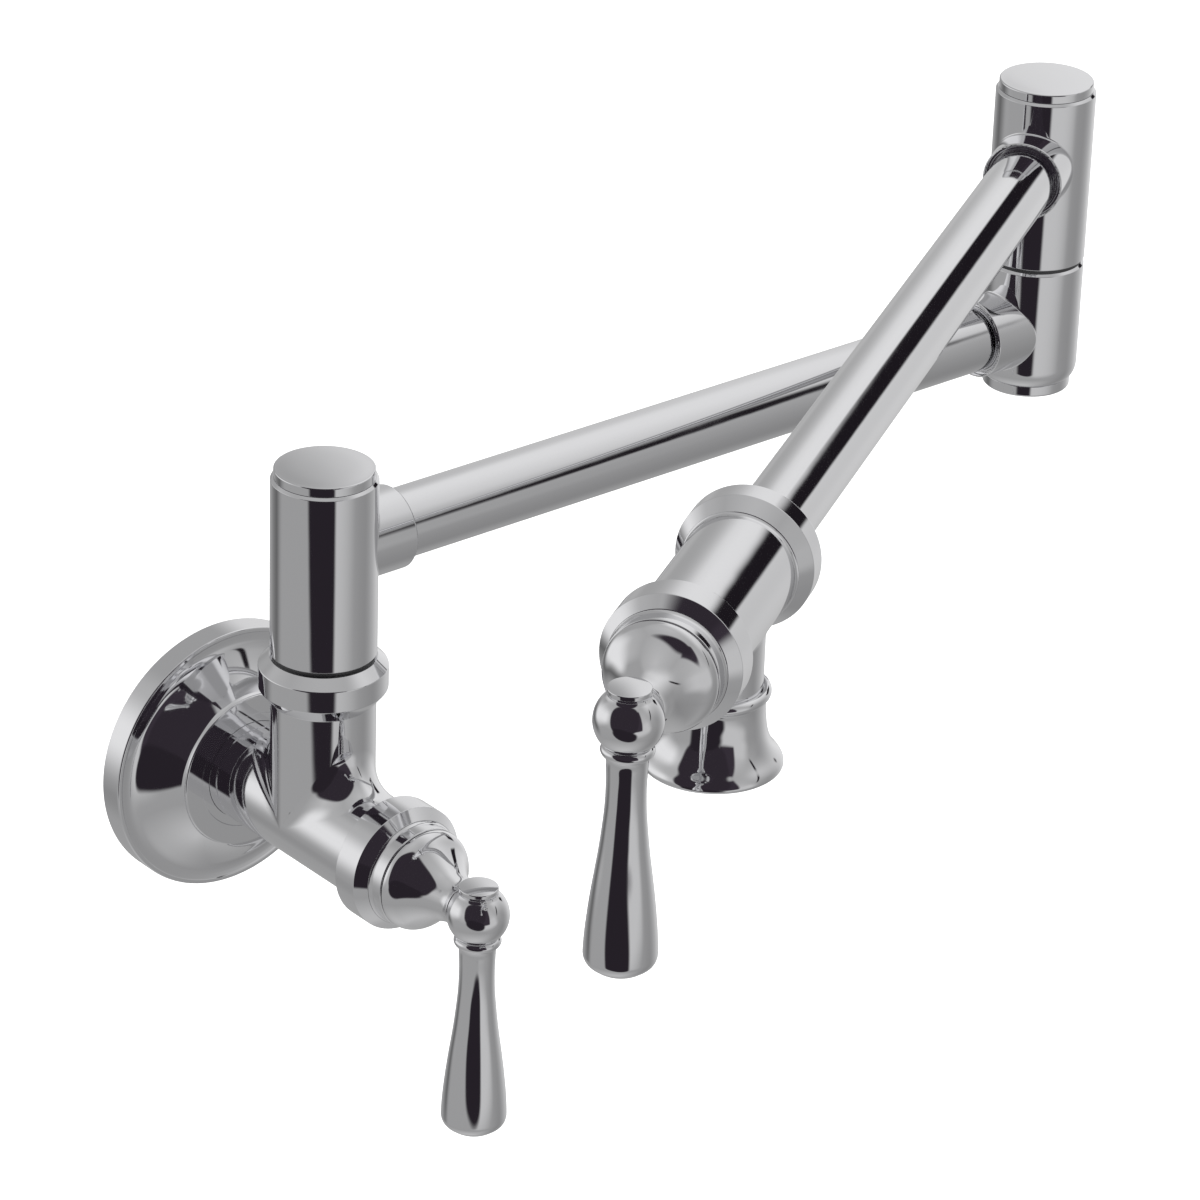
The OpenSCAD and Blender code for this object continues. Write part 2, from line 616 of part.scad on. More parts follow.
// Ceramic disc with two quarter openings
module disc(z, gap) color(ceramic) difference() {
    bar(disc_r - gap, z, z + disc_t);
    for (a = [45, 225]) rotate([0, 0, a - 40]) translate([0, 0, z - past])
        linear_extrude(disc_t + 2 * past) polygon(concat([[1, 0.8]], arc(0, 0, disc_r - 1.5, 8, 72, 6)));
}
module fixed_disc() disc(seat_z, 0);
module turning_disc() disc(seat_z + disc_t + lift, 0.05);

module bonnet_ring() color(chrome) difference() {
    union() {
        turned([[0, body_front], [bonnet_r, body_front], [bonnet_r, bonnet_front - 0.3],
            [bonnet_r - 0.3, bonnet_front], [0, bonnet_front]]);
        bar(counterbore_r - fit_gap, cartridge_flange_z + cartridge_flange_t, body_front + past);
    }
    bar(cartridge_neck_r + 0.1, cartridge_flange_z, bonnet_front + past);
}

module stem() color(brass) difference() {
    union() {
        bar(disc_r - 0.1, stem_back, stem_back + driver_t);
        bar(stem_r, stem_back, stem_front);
    }
    translate([-stem_r, -stem_r - 0.9, set_screw_z - 3]) cube([stem_d, 1.6, 20]);
}

// Handle hub: domed skirt over the bonnet, hollow neck and the ball
hub_edge = 0.2;                                // straight edge at the skirt's back
hub_shoulder = arc(hub_r - hub_shoulder_r, hub_back + hub_edge, hub_shoulder_r, 0, hub_shoulder_turn, 8);
hub_outer = concat(
    [[hub_r, hub_back]],
    hub_shoulder,
    curve(hub_shoulder[8], [handle_neck_d / 2 + 3.65, hub_back + 6.65],
          [handle_neck_d / 2 + 0.25, hub_back + 10.35], [handle_neck_d / 2, neck_z], 12),
    arc(handle_neck_d / 2 + neck_flare_r, neck_z, neck_flare_r, 180, 180 - neck_flare_turn, 4));
module handle_hub() color(chrome) difference() {
    union() {
        turned(concat([[0, hub_back]], hub_outer, [[0, neck_z + neck_flare_r * sin(neck_flare_turn)]]));
        translate([0, 0, ball_out]) sphere(r = ball_r, $fn = round_faces);
    }
    turned([[0, hub_back - past], [hub_r - hub_wall, hub_back - past], [hub_r - hub_wall, hub_back],
        [cartridge_neck_r + 1, hub_back + 3.4], [cartridge_neck_r + 1, hub_back + 4], [0, hub_back + 4]]);
    bar(stem_r + fit_gap, hub_back, stem_front + 0.4);
    at_ball() {
        bar(ball_r + past, lever_seat, ball_r + past);
        bar(ball_r + past, -ball_r - past, -button_seat);
        bar(stud_r + fit_gap, 0.6, lever_seat + past);
        bar(stud_r - 0.6 + fit_gap, -button_seat - past, -2);
    }
    translate([0, 0, set_screw_z]) rotate([90, 0, 0]) bar(set_screw_r + fit_gap, 0, hub_r);
}

module set_screw() color(steel) translate([0, 0, set_screw_z]) rotate([90, 0, 0]) difference() {
    bar(set_screw_r, stem_r - 0.6, stem_r + 3.2);
    translate([0, 0, stem_r + 1.4]) cylinder(r = 1.15, h = 3, $fn = 6);
}

// Lever: bead, waist, swelling grip and a domed tip. Heights run down from the ball's middle.
lever_bead_z = ball_r * 0.9;
lever_grip_top = ball_r * 1.14;
lever_tip_z = lever_length - 4.9;
lever_edge_z = lever_length - 2.3;
lever_waist_r = lever_waist_d / 2;
lever_swell = [lever_waist_r + 0.67, lever_grip_top + 18.6];   // where the waist turns into the grip
lever_outline = concat(
    [[0, lever_seat], [lever_waist_r + 0.77, lever_seat]],
    arc(lever_waist_r + 0.17, lever_bead_z, 1.45, -60, 50, 8),
    curve([lever_waist_r + 0.42, lever_grip_top], [lever_waist_r - 0.1, lever_grip_top + 8],
          [lever_waist_r - 0.35, lever_grip_top + 12], lever_swell, 10),
    curve(lever_swell, [lever_waist_r + 1.47, lever_grip_top + 27],
          [lever_d / 2 - 0.45, lever_tip_z - 12.4], [lever_d / 2, lever_tip_z], 12),
    curve([lever_d / 2, lever_tip_z], [lever_d / 2 - 0.3, lever_tip_z + 1.3],
          [lever_d / 2 - 1, lever_edge_z - 0.3], [lever_d / 2 - 1.85, lever_edge_z], 5),
    curve([lever_d / 2 - 1.85, lever_edge_z], [lever_d / 2 - 3.6, lever_edge_z + 1.4],
          [lever_d / 6, lever_length], [0, lever_length], 6));
module lever() color(chrome) at_ball() union() {
    turned(lever_outline);
    bar(stud_r, 0.9, lever_seat + past);
}

// Button on top of the ball, on a short undercut
button_top = button_seat + 1.9;
module lever_button() color(chrome) at_ball() union() {
    turned([[0, -button_seat], [button_r - 0.8, -button_seat], [button_r - 0.8, -button_seat - 0.4],
        [button_r, -button_seat - 0.7], [button_r, -button_top + 0.4], [button_r - 0.4, -button_top],
        [0, -button_top - 0.1]]);
    bar(stud_r - 0.6, -button_seat - 0.1, -2.2);
}

module inlet_cartridge() at_inlet_valve() cartridge();
module inlet_seat_seal() at_inlet_valve() seat_seal();
module inlet_fixed_disc() at_inlet_valve() fixed_disc();
module inlet_cartridge_seal() at_inlet_valve() cartridge_seal();
module inlet_bonnet_ring() at_inlet_valve() bonnet_ring();
module inlet_stem() at_inlet_valve() stem();
module inlet_turning_disc() at_inlet_valve() turning_disc();
module inlet_handle_hub() at_inlet_valve() handle_hub();
module inlet_lever() at_inlet_valve() lever();
module inlet_lever_button() at_inlet_valve() lever_button();
module inlet_set_screw() at_inlet_valve() set_screw();
module outlet_cartridge() at_outlet_valve() cartridge();
module outlet_seat_seal() at_outlet_valve() seat_seal();
module outlet_fixed_disc() at_outlet_valve() fixed_disc();
module outlet_cartridge_seal() at_outlet_valve() cartridge_seal();
module outlet_bonnet_ring() at_outlet_valve() bonnet_ring();
module outlet_stem() at_outlet_valve() stem();
module outlet_turning_disc() at_outlet_valve() turning_disc();
module outlet_handle_hub() at_outlet_valve() handle_hub();
module outlet_lever() at_outlet_valve() lever();
module outlet_lever_button() at_outlet_valve() lever_button();
module outlet_set_screw() at_outlet_valve() set_screw();

wall_plate();
shank_screws();
flange();
flange_ring();
tee_body();
wall_swivel_post();
wall_swivel_seals();
wall_swivel_washer();
wall_keeper();
wall_keeper_screw();
inlet_cartridge();
inlet_seat_seal();
inlet_fixed_disc();
inlet_cartridge_seal();
inlet_bonnet_ring();
inlet_stem();
inlet_turning_disc();
inlet_handle_hub();
inlet_lever();
inlet_lever_button();
inlet_set_screw();
arm_1_sleeve();
arm_1_cap();
arm_1_tube();
arm_1_gaskets();
elbow_lower_sleeve();
elbow_bottom_cap();
elbow_swivel_post();
elbow_swivel_seals();
elbow_swivel_washer();
elbow_keeper();
elbow_keeper_screw();
arm_2_sleeve();
arm_2_cap();
arm_2_tube();
arm_2_gaskets();
outlet_body();
outlet_nozzle();
nozzle_washer();
aerator_housing();
aerator_screens();
outlet_cartridge();
outlet_seat_seal();
outlet_fixed_disc();
outlet_cartridge_seal();
outlet_bonnet_ring();
outlet_stem();
outlet_turning_disc();
outlet_handle_hub();
outlet_lever();
outlet_lever_button();
outlet_set_screw();
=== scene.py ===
"""Double-jointed pot filler in polished chrome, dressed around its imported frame.

Outlines are in millimetres as the drawings give them, and the meshes are in metres.
Every polished piece is made of closed skins, each worked out as one numpy grid: an outline carried round an axis, or
the fillet where one pipe runs into another.
"""
import json

import bpy
import numpy as np
from mathutils import Matrix


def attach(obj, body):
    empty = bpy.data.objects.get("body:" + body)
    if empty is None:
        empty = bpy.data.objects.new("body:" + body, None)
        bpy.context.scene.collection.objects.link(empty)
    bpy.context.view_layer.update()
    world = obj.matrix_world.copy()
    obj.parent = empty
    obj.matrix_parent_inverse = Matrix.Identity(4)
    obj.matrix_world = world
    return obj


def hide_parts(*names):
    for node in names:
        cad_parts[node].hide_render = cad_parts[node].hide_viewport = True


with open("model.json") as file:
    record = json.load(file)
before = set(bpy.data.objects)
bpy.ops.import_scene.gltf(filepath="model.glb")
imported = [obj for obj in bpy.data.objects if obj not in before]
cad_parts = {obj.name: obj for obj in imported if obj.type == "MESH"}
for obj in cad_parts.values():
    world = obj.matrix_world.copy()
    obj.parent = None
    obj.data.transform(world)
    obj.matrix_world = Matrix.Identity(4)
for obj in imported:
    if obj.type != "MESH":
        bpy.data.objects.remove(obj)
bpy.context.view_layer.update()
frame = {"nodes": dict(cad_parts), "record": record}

MM = 0.001

# Main sizes, as in the part's source
POST_OUT = 48.2
ARM_1_LENGTH = 256.0
ARM_2_LENGTH = 306.0
FOLD_ANGLE = 31.6
TUBE_R = 9.525
TUBE_BORE_R = 8.325
SLEEVE_R = 14.3
SLEEVE_BORE_R = 10.55
SLEEVE_H = 50.0
SLEEVE_1_Z = 49.7
SLEEVE_CHAMFER = 0.7
ARM_ABOVE_SLEEVE = 30.0
SWIVEL_GAP = 1.2
ARM_1_Z = SLEEVE_1_Z + ARM_ABOVE_SLEEVE
ELBOW_TOP_Z = ARM_1_Z + 20.05
ELBOW_BOTTOM_Z = ARM_1_Z - 15.7
ELBOW_MOUTH_R = 12.65
SLEEVE_2_Z = ELBOW_TOP_Z + SWIVEL_GAP
ARM_2_Z = SLEEVE_2_Z + ARM_ABOVE_SLEEVE
POCKET_R = 12.6
POCKET_H = 6.3
SOCKET_R = 11.5
SOCKET_REACH = 22.3
TUBE_SEAT = SOCKET_REACH - 9.8
BODY_R = 14.2
RING_R = 17.5
RING_FOOT_R = 14.8
RING_START = 28.65
RING_LENGTH = 8.05
RING_CHAMFER = 2.7
BODY_FRONT = RING_START + RING_LENGTH + RING_CHAMFER
BONNET_FRONT = BODY_FRONT + 4.6
CHAMBER_R = 9.5
COUNTERBORE_R = 11.5
CARTRIDGE_FLANGE_Z = BODY_FRONT - 9.4
CHAMBER_BACK = -10.0
WATERWAY_R = 6.5
COLLAR_R = 17.4
COLLAR_MOUTH_R = 14.5
COLLAR_FOOT_Z = 35.6
COLLAR_TOP_Z = SLEEVE_1_Z - SWIVEL_GAP
TEE_FILLET = 11.0
BALL_OUT = 67.3
BALL_R = 8.3
STEM_R = 4.0
HUB_BORE_DEPTH = 4.0
HUB_R = 14.08
HUB_BACK = BONNET_FRONT + 0.25
FLANGE_R = 38.0
RIM_HEIGHT = 7.3
SHEET = 1.6
BOSS_R = 21.8
BOSS_HEIGHT = 16.5
THREAD_R = 9.3
THREAD_DEPTH = 16.0
OUTLET_NECK_R = 11.65
OUTLET_DROP_BORE_R = 6.2
NOZZLE_TOP = 22.4
NOZZLE_BOTTOM = 44.1
AERATOR_R = 11.05
AERATOR_BOTTOM = NOZZLE_BOTTOM - 2.2
REAR_RING_FRONT = 20.5
REAR_RING_BACK = REAR_RING_FRONT + 6.4
REAR_SLOPE_END = 3.8 - REAR_RING_FRONT
OUTLET_BACK = REAR_RING_BACK + RING_CHAMFER

FIT = 0.05                      # gap or overlap between two pieces that fit into each other
TURNS = 160                     # grid lines round a turned piece
BEND_STEPS = 6                  # straight runs in a rounded corner
SUPPORT = 0.04                  # short straight run that keeps a flat flat beside a rounding
BURIED = 0.5                    # how far the hidden rows of a fillet lie inside the metal
FOOT_Z = 12.0                   # drawn height of a foot that stands on a pipe
NECK_FOOT_R = 11.0              # pipe radii, inside the metal, that the feet of necks and of sockets stand on
SOCKET_FOOT_R = 12.4


# ---------------------------------------------------------------- outlines
def cornered(*points, closed=True):
    """Outline through (radius, height, rounding) points.

    Each rounded corner is an arc of that rounding, tangent to both edges. Every corner has a short straight run on
    either side, so that the faces beside it shade flat.
    """
    at = np.array([p[:2] for p in points], float)
    rounding = [p[2] if len(p) > 2 else 0.0 for p in points]
    runs = []
    for i, (p, r) in enumerate(zip(at, rounding)):
        if p[0] < 1e-9 or not closed and i in (0, len(at) - 1):
            runs.append(p[None])
            continue
        back, ahead = at[i - 1] - p, at[(i + 1) % len(at)] - p
        back, ahead = back / np.linalg.norm(back), ahead / np.linalg.norm(ahead)
        if r == 0.0:
            runs.append(np.array([p + back * SUPPORT, p, p + ahead * SUPPORT]))
            continue
        half = np.arccos(np.clip(back @ ahead, -1, 1)) / 2
        touch = r / np.tan(half)
        middle = p + (back + ahead) / np.linalg.norm(back + ahead) * r / np.sin(half)
        spoke_a, spoke_b = p + back * touch - middle, p + ahead * touch - middle
        whole = np.pi - 2 * half
        t = np.linspace(0, 1, BEND_STEPS + 1)[:, None]
        bend = middle + (np.sin((1 - t) * whole) * spoke_a + np.sin(t * whole) * spoke_b) / np.sin(whole)
        runs.append(np.vstack([p + back * (touch + SUPPORT), bend, p + ahead * (touch + SUPPORT)]))
    return np.vstack(runs)


def flowing(points, start=None, end=None, step=0.35):
    """Smooth outline through a few points: a cubic spline by chord length.

    Its second derivatives m solve one small linear system; start and end are its directions there, if given.
    """
    p = np.array(points, float)
    h = np.linalg.norm(np.diff(p, axis=0), axis=1)
    slope = np.diff(p, axis=0) / h[:, None]
    n = len(p)
    system, right = np.zeros((n, n)), np.zeros((n, 2))
    i = np.arange(1, n - 1)
    system[i, i - 1], system[i, i], system[i, i + 1] = h[:-1], 2 * (h[:-1] + h[1:]), h[1:]
    right[1:-1] = 6 * np.diff(slope, axis=0)
    system[0, 0] = system[-1, -1] = 1
    if start is not None:
        system[0, :2] = 2 * h[0], h[0]
        right[0] = 6 * (slope[0] - np.array(start) / np.linalg.norm(start))
    if end is not None:
        system[-1, -2:] = h[-1], 2 * h[-1]
        right[-1] = 6 * (np.array(end) / np.linalg.norm(end) - slope[-1])
    m = np.linalg.solve(system, right)
    knots = np.concatenate([[0], np.cumsum(h)])
    t = np.linspace(0, knots[-1], max(4, int(knots[-1] / step) + 1))
    k = np.clip(np.searchsorted(knots, t, side="right") - 1, 0, n - 2)
    a, b, w = (knots[k + 1] - t)[:, None], (t - knots[k])[:, None], h[k][:, None]
    return (m[k] * a**3 + m[k + 1] * b**3) / (6 * w) + (p[k] / w - m[k] * w / 6) * a + (
        p[k + 1] / w - m[k + 1] * w / 6) * b


def arc(middle_r, middle_z, r, start, end, steps=10):
    """Outline points of a circle arc: middle + r (cos a, sin a), with a from start to end in degrees."""
    a = np.radians(np.linspace(start, end, steps + 1))
    return np.stack([middle_r + r * np.cos(a), middle_z + r * np.sin(a)], 1)


# ---------------------------------------------------------------- places
class Place:
    """Local axes: point (x, y, z) is middle + x side + y over + z along, where over = along x side."""

    def __init__(self, middle, along, side):
        self.middle, self.along, self.side = (np.array(v, float) for v in (middle, along, side))
        self.over = np.cross(self.along, self.side)

    def __call__(self, x, y, z):
        x, y, z = (np.asarray(v, float)[..., None] for v in (x, y, z))
        return (self.middle + x * self.side + y * self.over + z * self.along) * MM

    def moved(self, x=0.0, y=0.0, z=0.0):
        return Place(self.middle + x * self.side + y * self.over + z * self.along, self.along, self.side)


EAST, NORTH, UP = np.eye(3)
fold = np.radians(FOLD_ANGLE - 180)
ARM_2_WAY = np.array([np.cos(fold), np.sin(fold), 0.0])
POST_MIDDLE = np.array([0, -POST_OUT, 0])
ELBOW_MIDDLE = np.array([ARM_1_LENGTH, -POST_OUT, 0])
OUTLET_MIDDLE = ELBOW_MIDDLE + ARM_2_LENGTH * ARM_2_WAY + ARM_2_Z * UP

at_wall = Place((0, 0, 0), -NORTH, EAST)
at_post = Place(POST_MIDDLE, UP, EAST)
at_neck = Place(POST_MIDDLE, UP, NORTH)
at_inlet_valve = Place(POST_MIDDLE, -NORTH, EAST)
at_arm_1 = Place(POST_MIDDLE + ARM_1_Z * UP, EAST, UP)
at_elbow = Place(ELBOW_MIDDLE, UP, EAST)
at_elbow_socket = Place(ELBOW_MIDDLE + ARM_1_Z * UP, -EAST, UP)
at_elbow_turned = Place(ELBOW_MIDDLE, UP, ARM_2_WAY)
at_arm_2 = Place(ELBOW_MIDDLE + ARM_2_Z * UP, ARM_2_WAY, UP)
at_outlet_valve = Place(OUTLET_MIDDLE, ARM_2_WAY, np.cross(UP, ARM_2_WAY))
at_outlet_drop = Place(OUTLET_MIDDLE, -UP, ARM_2_WAY)


def at_ball(valve):
    """The ball's middle, with the local height running down the lever."""
    return Place(valve.moved(z=BALL_OUT).middle, -UP, valve.side)


# ---------------------------------------------------------------- skins
def outward(points, faces):
    """The faces turned so that the closed skin's signed volume, a sixth of the summed triple products, is positive."""
    a, b, c, d = (points[faces[:, k]] for k in range(4))
    volume = np.einsum("ij,ij->i", a, np.cross(b, c)).sum() + np.einsum("ij,ij->i", a, np.cross(c, d)).sum()
    return faces if volume > 0 else faces[:, ::-1]


def woven(grid, wrap_u=True):
    """Quads over grid[u, v], each joining (u, v), (u+1, v), (u+1, v+1) and (u, v+1). The last v joins the first, and
    so does the last u where u wraps.

    A row whose points coincide is a pole: its quads share the row's first point.
    """
    nu, nv = grid.shape[:2]
    index = np.arange(nu * nv).reshape(nu, nv)
    poles = np.ptp(grid, axis=1).max(axis=1) < 1e-9
    index[poles] = index[poles][:, :1]
    u = np.arange(nu if wrap_u else nu - 1)[:, None]
    v = np.arange(nv)[None]
    u1, v1 = (u + 1) % nu, (v + 1) % nv
    faces = np.stack([index[u, v], index[u1, v], index[u1, v1], index[u, v1]], -1).reshape(-1, 4)
    points = grid.reshape(-1, 3)
    return points, outward(points, faces)


def turned(outline, place, foot=None):
    """Skin of revolution: point (u, v) is place(r cos v, r sin v, z) for outline row u = (r, z).

    An outline that starts and ends on the axis closes at its poles, and any other joins its end to its start.
    With foot, the rows at FOOT_Z stand on a cylinder of that radius across the axis, inside the metal of a pipe:
    their z becomes z - FOOT_Z + sqrt(foot^2 - (r sin v)^2).
    """
    outline = np.asarray(outline, float)
    v = np.linspace(0, 2 * np.pi, TURNS, endpoint=False)
    r, z = outline[:, :1], np.broadcast_to(outline[:, 1:], (len(outline), TURNS)).copy()
    if foot is not None:
        low = outline[:, 1] < FOOT_Z + 2 * SUPPORT
        z[low] += np.sqrt(np.maximum(foot**2 - (r[low] * np.sin(v)) ** 2, 0.01)) - FOOT_Z
    on_axis = outline[0, 0] < 1e-9 and outline[-1, 0] < 1e-9
    return woven(place(r * np.cos(v), r * np.sin(v), z), wrap_u=not on_axis)


def tee_fillet(neck_r, pipe_r, rho, place, steps=14):
    """Ring-shaped skin that blends a neck along the local height into a pipe along the local side.

    Rolling-ball fillet: at angle a the ball's middle is ((n+f) cos a, (n+f) sin a, sqrt((p+f)^2 - ((n+f) sin a)^2)),
    for neck n, pipe p and fillet f. It touches the neck at the same height and the pipe on the line to its axis, and
    the fillet is the arc between them. Three rows inside the metal, one in the corner, close the ring.
    """
    a = np.linspace(0, 2 * np.pi, TURNS, endpoint=False)
    cos, sin = np.cos(a), np.sin(a)
    reach = neck_r + rho
    middle = np.stack([reach * cos, reach * sin, np.sqrt(np.maximum((pipe_r + rho) ** 2 - (reach * sin) ** 2, 0))], 1)
    on_neck = np.stack([neck_r * cos, neck_r * sin, middle[:, 2]], 1)
    share = pipe_r / (pipe_r + rho)
    on_pipe = np.stack([middle[:, 0], middle[:, 1] * share, middle[:, 2] * share], 1)
    spoke_a, spoke_b = (on_neck - middle) / rho, (on_pipe - middle) / rho
    whole = np.arccos(np.clip((spoke_a * spoke_b).sum(1), -1, 1))[None, :, None]
    t = np.linspace(0, 1, steps + 1)[:, None, None]
    safe = np.maximum(np.sin(whole), 1e-6)
    bend = np.where(whole > 1e-4, np.sin((1 - t) * whole) / safe, 1 - t) * spoke_a + np.where(
        whole > 1e-4, np.sin(t * whole) / safe, t) * spoke_b
    rows = middle + rho * bend
    neck_way = np.stack([cos, sin, 0 * a], 1)
    pipe_way = np.stack([0 * a, on_pipe[:, 1], on_pipe[:, 2]], 1) / pipe_r
    under_neck, under_pipe = on_neck - BURIED * neck_way, on_pipe - BURIED * pipe_way
    corner = under_neck.copy()
    corner[:, 2] = np.sqrt(np.maximum(pipe_r**2 - corner[:, 1] ** 2, 0)) - BURIED
    grid = np.concatenate([rows, under_pipe[None], corner[None], under_neck[None]])
    shading = np.concatenate([-bend, pipe_way[None], neck_way[None], neck_way[None]])
    shading /= np.maximum(np.linalg.norm(shading, axis=2, keepdims=True), 1e-9)
    points, faces = woven(place(grid[..., 0], grid[..., 1], grid[..., 2]))
    ways = shading[..., :1] * place.side + shading[..., 1:2] * place.over + shading[..., 2:] * place.along
    return points, faces, ways.reshape(-1, 3)


# ---------------------------------------------------------------- shader groups and finishes
def group(name, inputs, outputs):
    """An empty shader group with named inputs (name, kind, value) and outputs (name, kind)."""
    made = bpy.data.node_groups.new(name, "ShaderNodeTree")
    for label, kind, value in inputs:
        made.interface.new_socket(label, in_out="INPUT", socket_type=kind).default_value = value
    for label, kind in outputs:
        made.interface.new_socket(label, in_out="OUTPUT", socket_type=kind)
    return made, made.nodes.new("NodeGroupInput"), made.nodes.new("NodeGroupOutput")


def node(tree, kind, links=(), **settings):
    """A new node with its settings, whose inputs are linked from (input name or number, socket) pairs or set."""
    made = tree.nodes.new(kind)
    for key, value in settings.items():
        setattr(made, key, value)
    for key, value in links:
        if isinstance(value, bpy.types.NodeSocket):
            tree.links.new(value, made.inputs[key])
        else:
            made.inputs[key].default_value = value
    return made


def math(tree, what, a, b=0.0, clamp=False):
    """One step of arithmetic: what(a, b)."""
    return node(tree, "ShaderNodeMath", [(0, a), (1, b)], operation=what, use_clamp=clamp).outputs[0]


FLOAT, COLOUR, VECTOR = "NodeSocketFloat", "NodeSocketColor", "NodeSocketVector"


BUMP = 0.00002                  # metres that the swell and the scratches rise


def polish_group():
    """Hand-polished metal: smudges and hair-fine scratches in the gloss, and a slow swell in the surface.

    Roughness = base + smudge s1 + scratch s2, and Height = swell s3 + scratch depth, from three noises on
    Object coordinates.
    """
    made, given, result = group(
        "polish",
        [("Roughness", FLOAT, 0.06), ("Smudge", FLOAT, 0.03), ("Scratch", FLOAT, 0.02), ("Swell", FLOAT, 1.0)],
        [("Roughness", FLOAT), ("Height", FLOAT)])
    where = node(made, "ShaderNodeTexCoord").outputs["Object"]
    smudge = node(made, "ShaderNodeTexNoise", [("Vector", where), ("Scale", 55.0), ("Detail", 4.0)]).outputs[0]
    smudge = math(made, "MULTIPLY", math(made, "SUBTRACT", smudge, 0.48, clamp=True), 4.0, clamp=True)
    turned_way = node(made, "ShaderNodeMapping", [("Vector", where), ("Rotation", (0.5, 0.4, 0.7)),
                                                  ("Scale", (60.0, 2600.0, 900.0))]).outputs[0]
    hair = node(made, "ShaderNodeTexNoise", [("Vector", turned_way), ("Scale", 1.0), ("Detail", 2.0)]).outputs[0]
    hair = math(made, "MULTIPLY", math(made, "SUBTRACT", hair, 0.62, clamp=True), 5.0, clamp=True)
    swell = node(made, "ShaderNodeTexNoise", [("Vector", where), ("Scale", 70.0), ("Detail", 1.0)]).outputs[0]
    rough = math(made, "ADD", given.outputs["Roughness"], math(made, "MULTIPLY", smudge, given.outputs["Smudge"]))
    rough = math(made, "ADD", rough, math(made, "MULTIPLY", hair, given.outputs["Scratch"]))
    height = math(made, "SUBTRACT", math(made, "MULTIPLY", swell, given.outputs["Swell"]),
                  math(made, "MULTIPLY", hair, 0.02))
    made.links.new(rough, result.inputs["Roughness"])
    made.links.new(height, result.inputs["Height"])
    return made


def finish(name, colour, metallic, gloss, rough, smudge, scratch, swell=1.0):
    """A material: the gloss group on a Principled shader, with plain sockets for what is the same all over."""
    made = bpy.data.materials.new(name)
    made.use_nodes = True
    tree = made.node_tree
    shader = tree.nodes["Principled BSDF"]
    shader.inputs["Base Color"].default_value = (*colour, 1)
    shader.inputs["Metallic"].default_value = metallic
    worked = node(tree, "ShaderNodeGroup", node_tree=gloss)
    for key, value in (("Roughness", rough), ("Smudge", smudge), ("Scratch", scratch), ("Swell", swell)):
        worked.inputs[key].default_value = value
    tree.links.new(worked.outputs["Roughness"], shader.inputs["Roughness"])
    relief = node(tree, "ShaderNodeBump", [("Height", worked.outputs["Height"]), ("Distance", BUMP)])
    tree.links.new(relief.outputs[0], shader.inputs["Normal"])
    return made


polish = polish_group()
chrome = finish("polished_chrome", (0.80, 0.80, 0.815), 1.0, polish, rough=0.045, smudge=0.02, scratch=0.02)
brass = finish("turned_brass", (0.72, 0.53, 0.26), 1.0, polish, rough=0.24, smudge=0.1, scratch=0.2)
steel = finish("stainless_steel", (0.56, 0.56, 0.57), 1.0, polish, rough=0.3, smudge=0.12, scratch=0.25)
rubber = finish("black_rubber", (0.02, 0.02, 0.021), 0.0, polish, rough=0.55, smudge=0.2, scratch=0.1, swell=3.0)
bearing = finish("black_bearing", (0.03, 0.03, 0.032), 0.0, polish, rough=0.4, smudge=0.1, scratch=0.1)
nylon = finish("white_nylon", (0.78, 0.78, 0.75), 0.0, polish, rough=0.38, smudge=0.1, scratch=0.1)
ceramic = finish("white_ceramic", (0.86, 0.85, 0.82), 0.0, polish, rough=0.12, smudge=0.05, scratch=0.05)
plain_finishes = {"polished_chrome": chrome, "turned_brass": brass, "stainless_steel": steel,
                  "black_rubber": rubber, "black_bearing": bearing, "white_nylon": nylon, "white_ceramic": ceramic}
for part in frame["record"]["subparts"]:
    mesh = frame["nodes"][part["node"]].data
    mesh.materials.clear()
    mesh.materials.append(plain_finishes[part["material_slot"]])


def chromed(node_name, body, *skins):
    """One polished piece from closed skins. It rides on its body and stands for one node, and every face is smooth.

    The points that a pole leaves unused are dropped, and a skin that brings its own normals (ways) keeps them.
    """
    name = "polished_" + node_name
    count = np.cumsum([0] + [len(s[0]) for s in skins])
    points = np.vstack([s[0] for s in skins])
    faces = np.vstack([s[1] + start for s, start in zip(skins, count)])
    faces = [tuple(dict.fromkeys(face)) for face in faces.tolist()]
    used = np.zeros(len(points), bool)
    used[np.concatenate([list(face) for face in faces])] = True
    renumber = np.cumsum(used) - 1
    faces = [[int(renumber[k]) for k in face] for face in faces if len(face) > 2]
    mesh = bpy.data.meshes.new(name)
    mesh.from_pydata(points[used], [], faces)
    mesh.polygons.foreach_set("use_smooth", np.ones(len(faces), bool))
    mesh.update()
    if any(len(s) > 2 for s in skins):
        ways = np.empty(len(mesh.vertices) * 3)
        mesh.vertices.foreach_get("normal", ways)
        ways = ways.reshape(-1, 3)
        given = np.vstack([s[2] if len(s) > 2 else np.zeros((len(s[0]), 3)) for s in skins])[used]
        known = np.linalg.norm(given, axis=1) > 0.5
        ways[known] = given[known]
        mesh.normals_split_custom_set_from_vertices(ways.tolist())
    made = bpy.data.objects.new(name, mesh)
    bpy.context.scene.collection.objects.link(made)
    mesh.materials.append(chrome)
    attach(made, body)
    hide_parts(node_name)


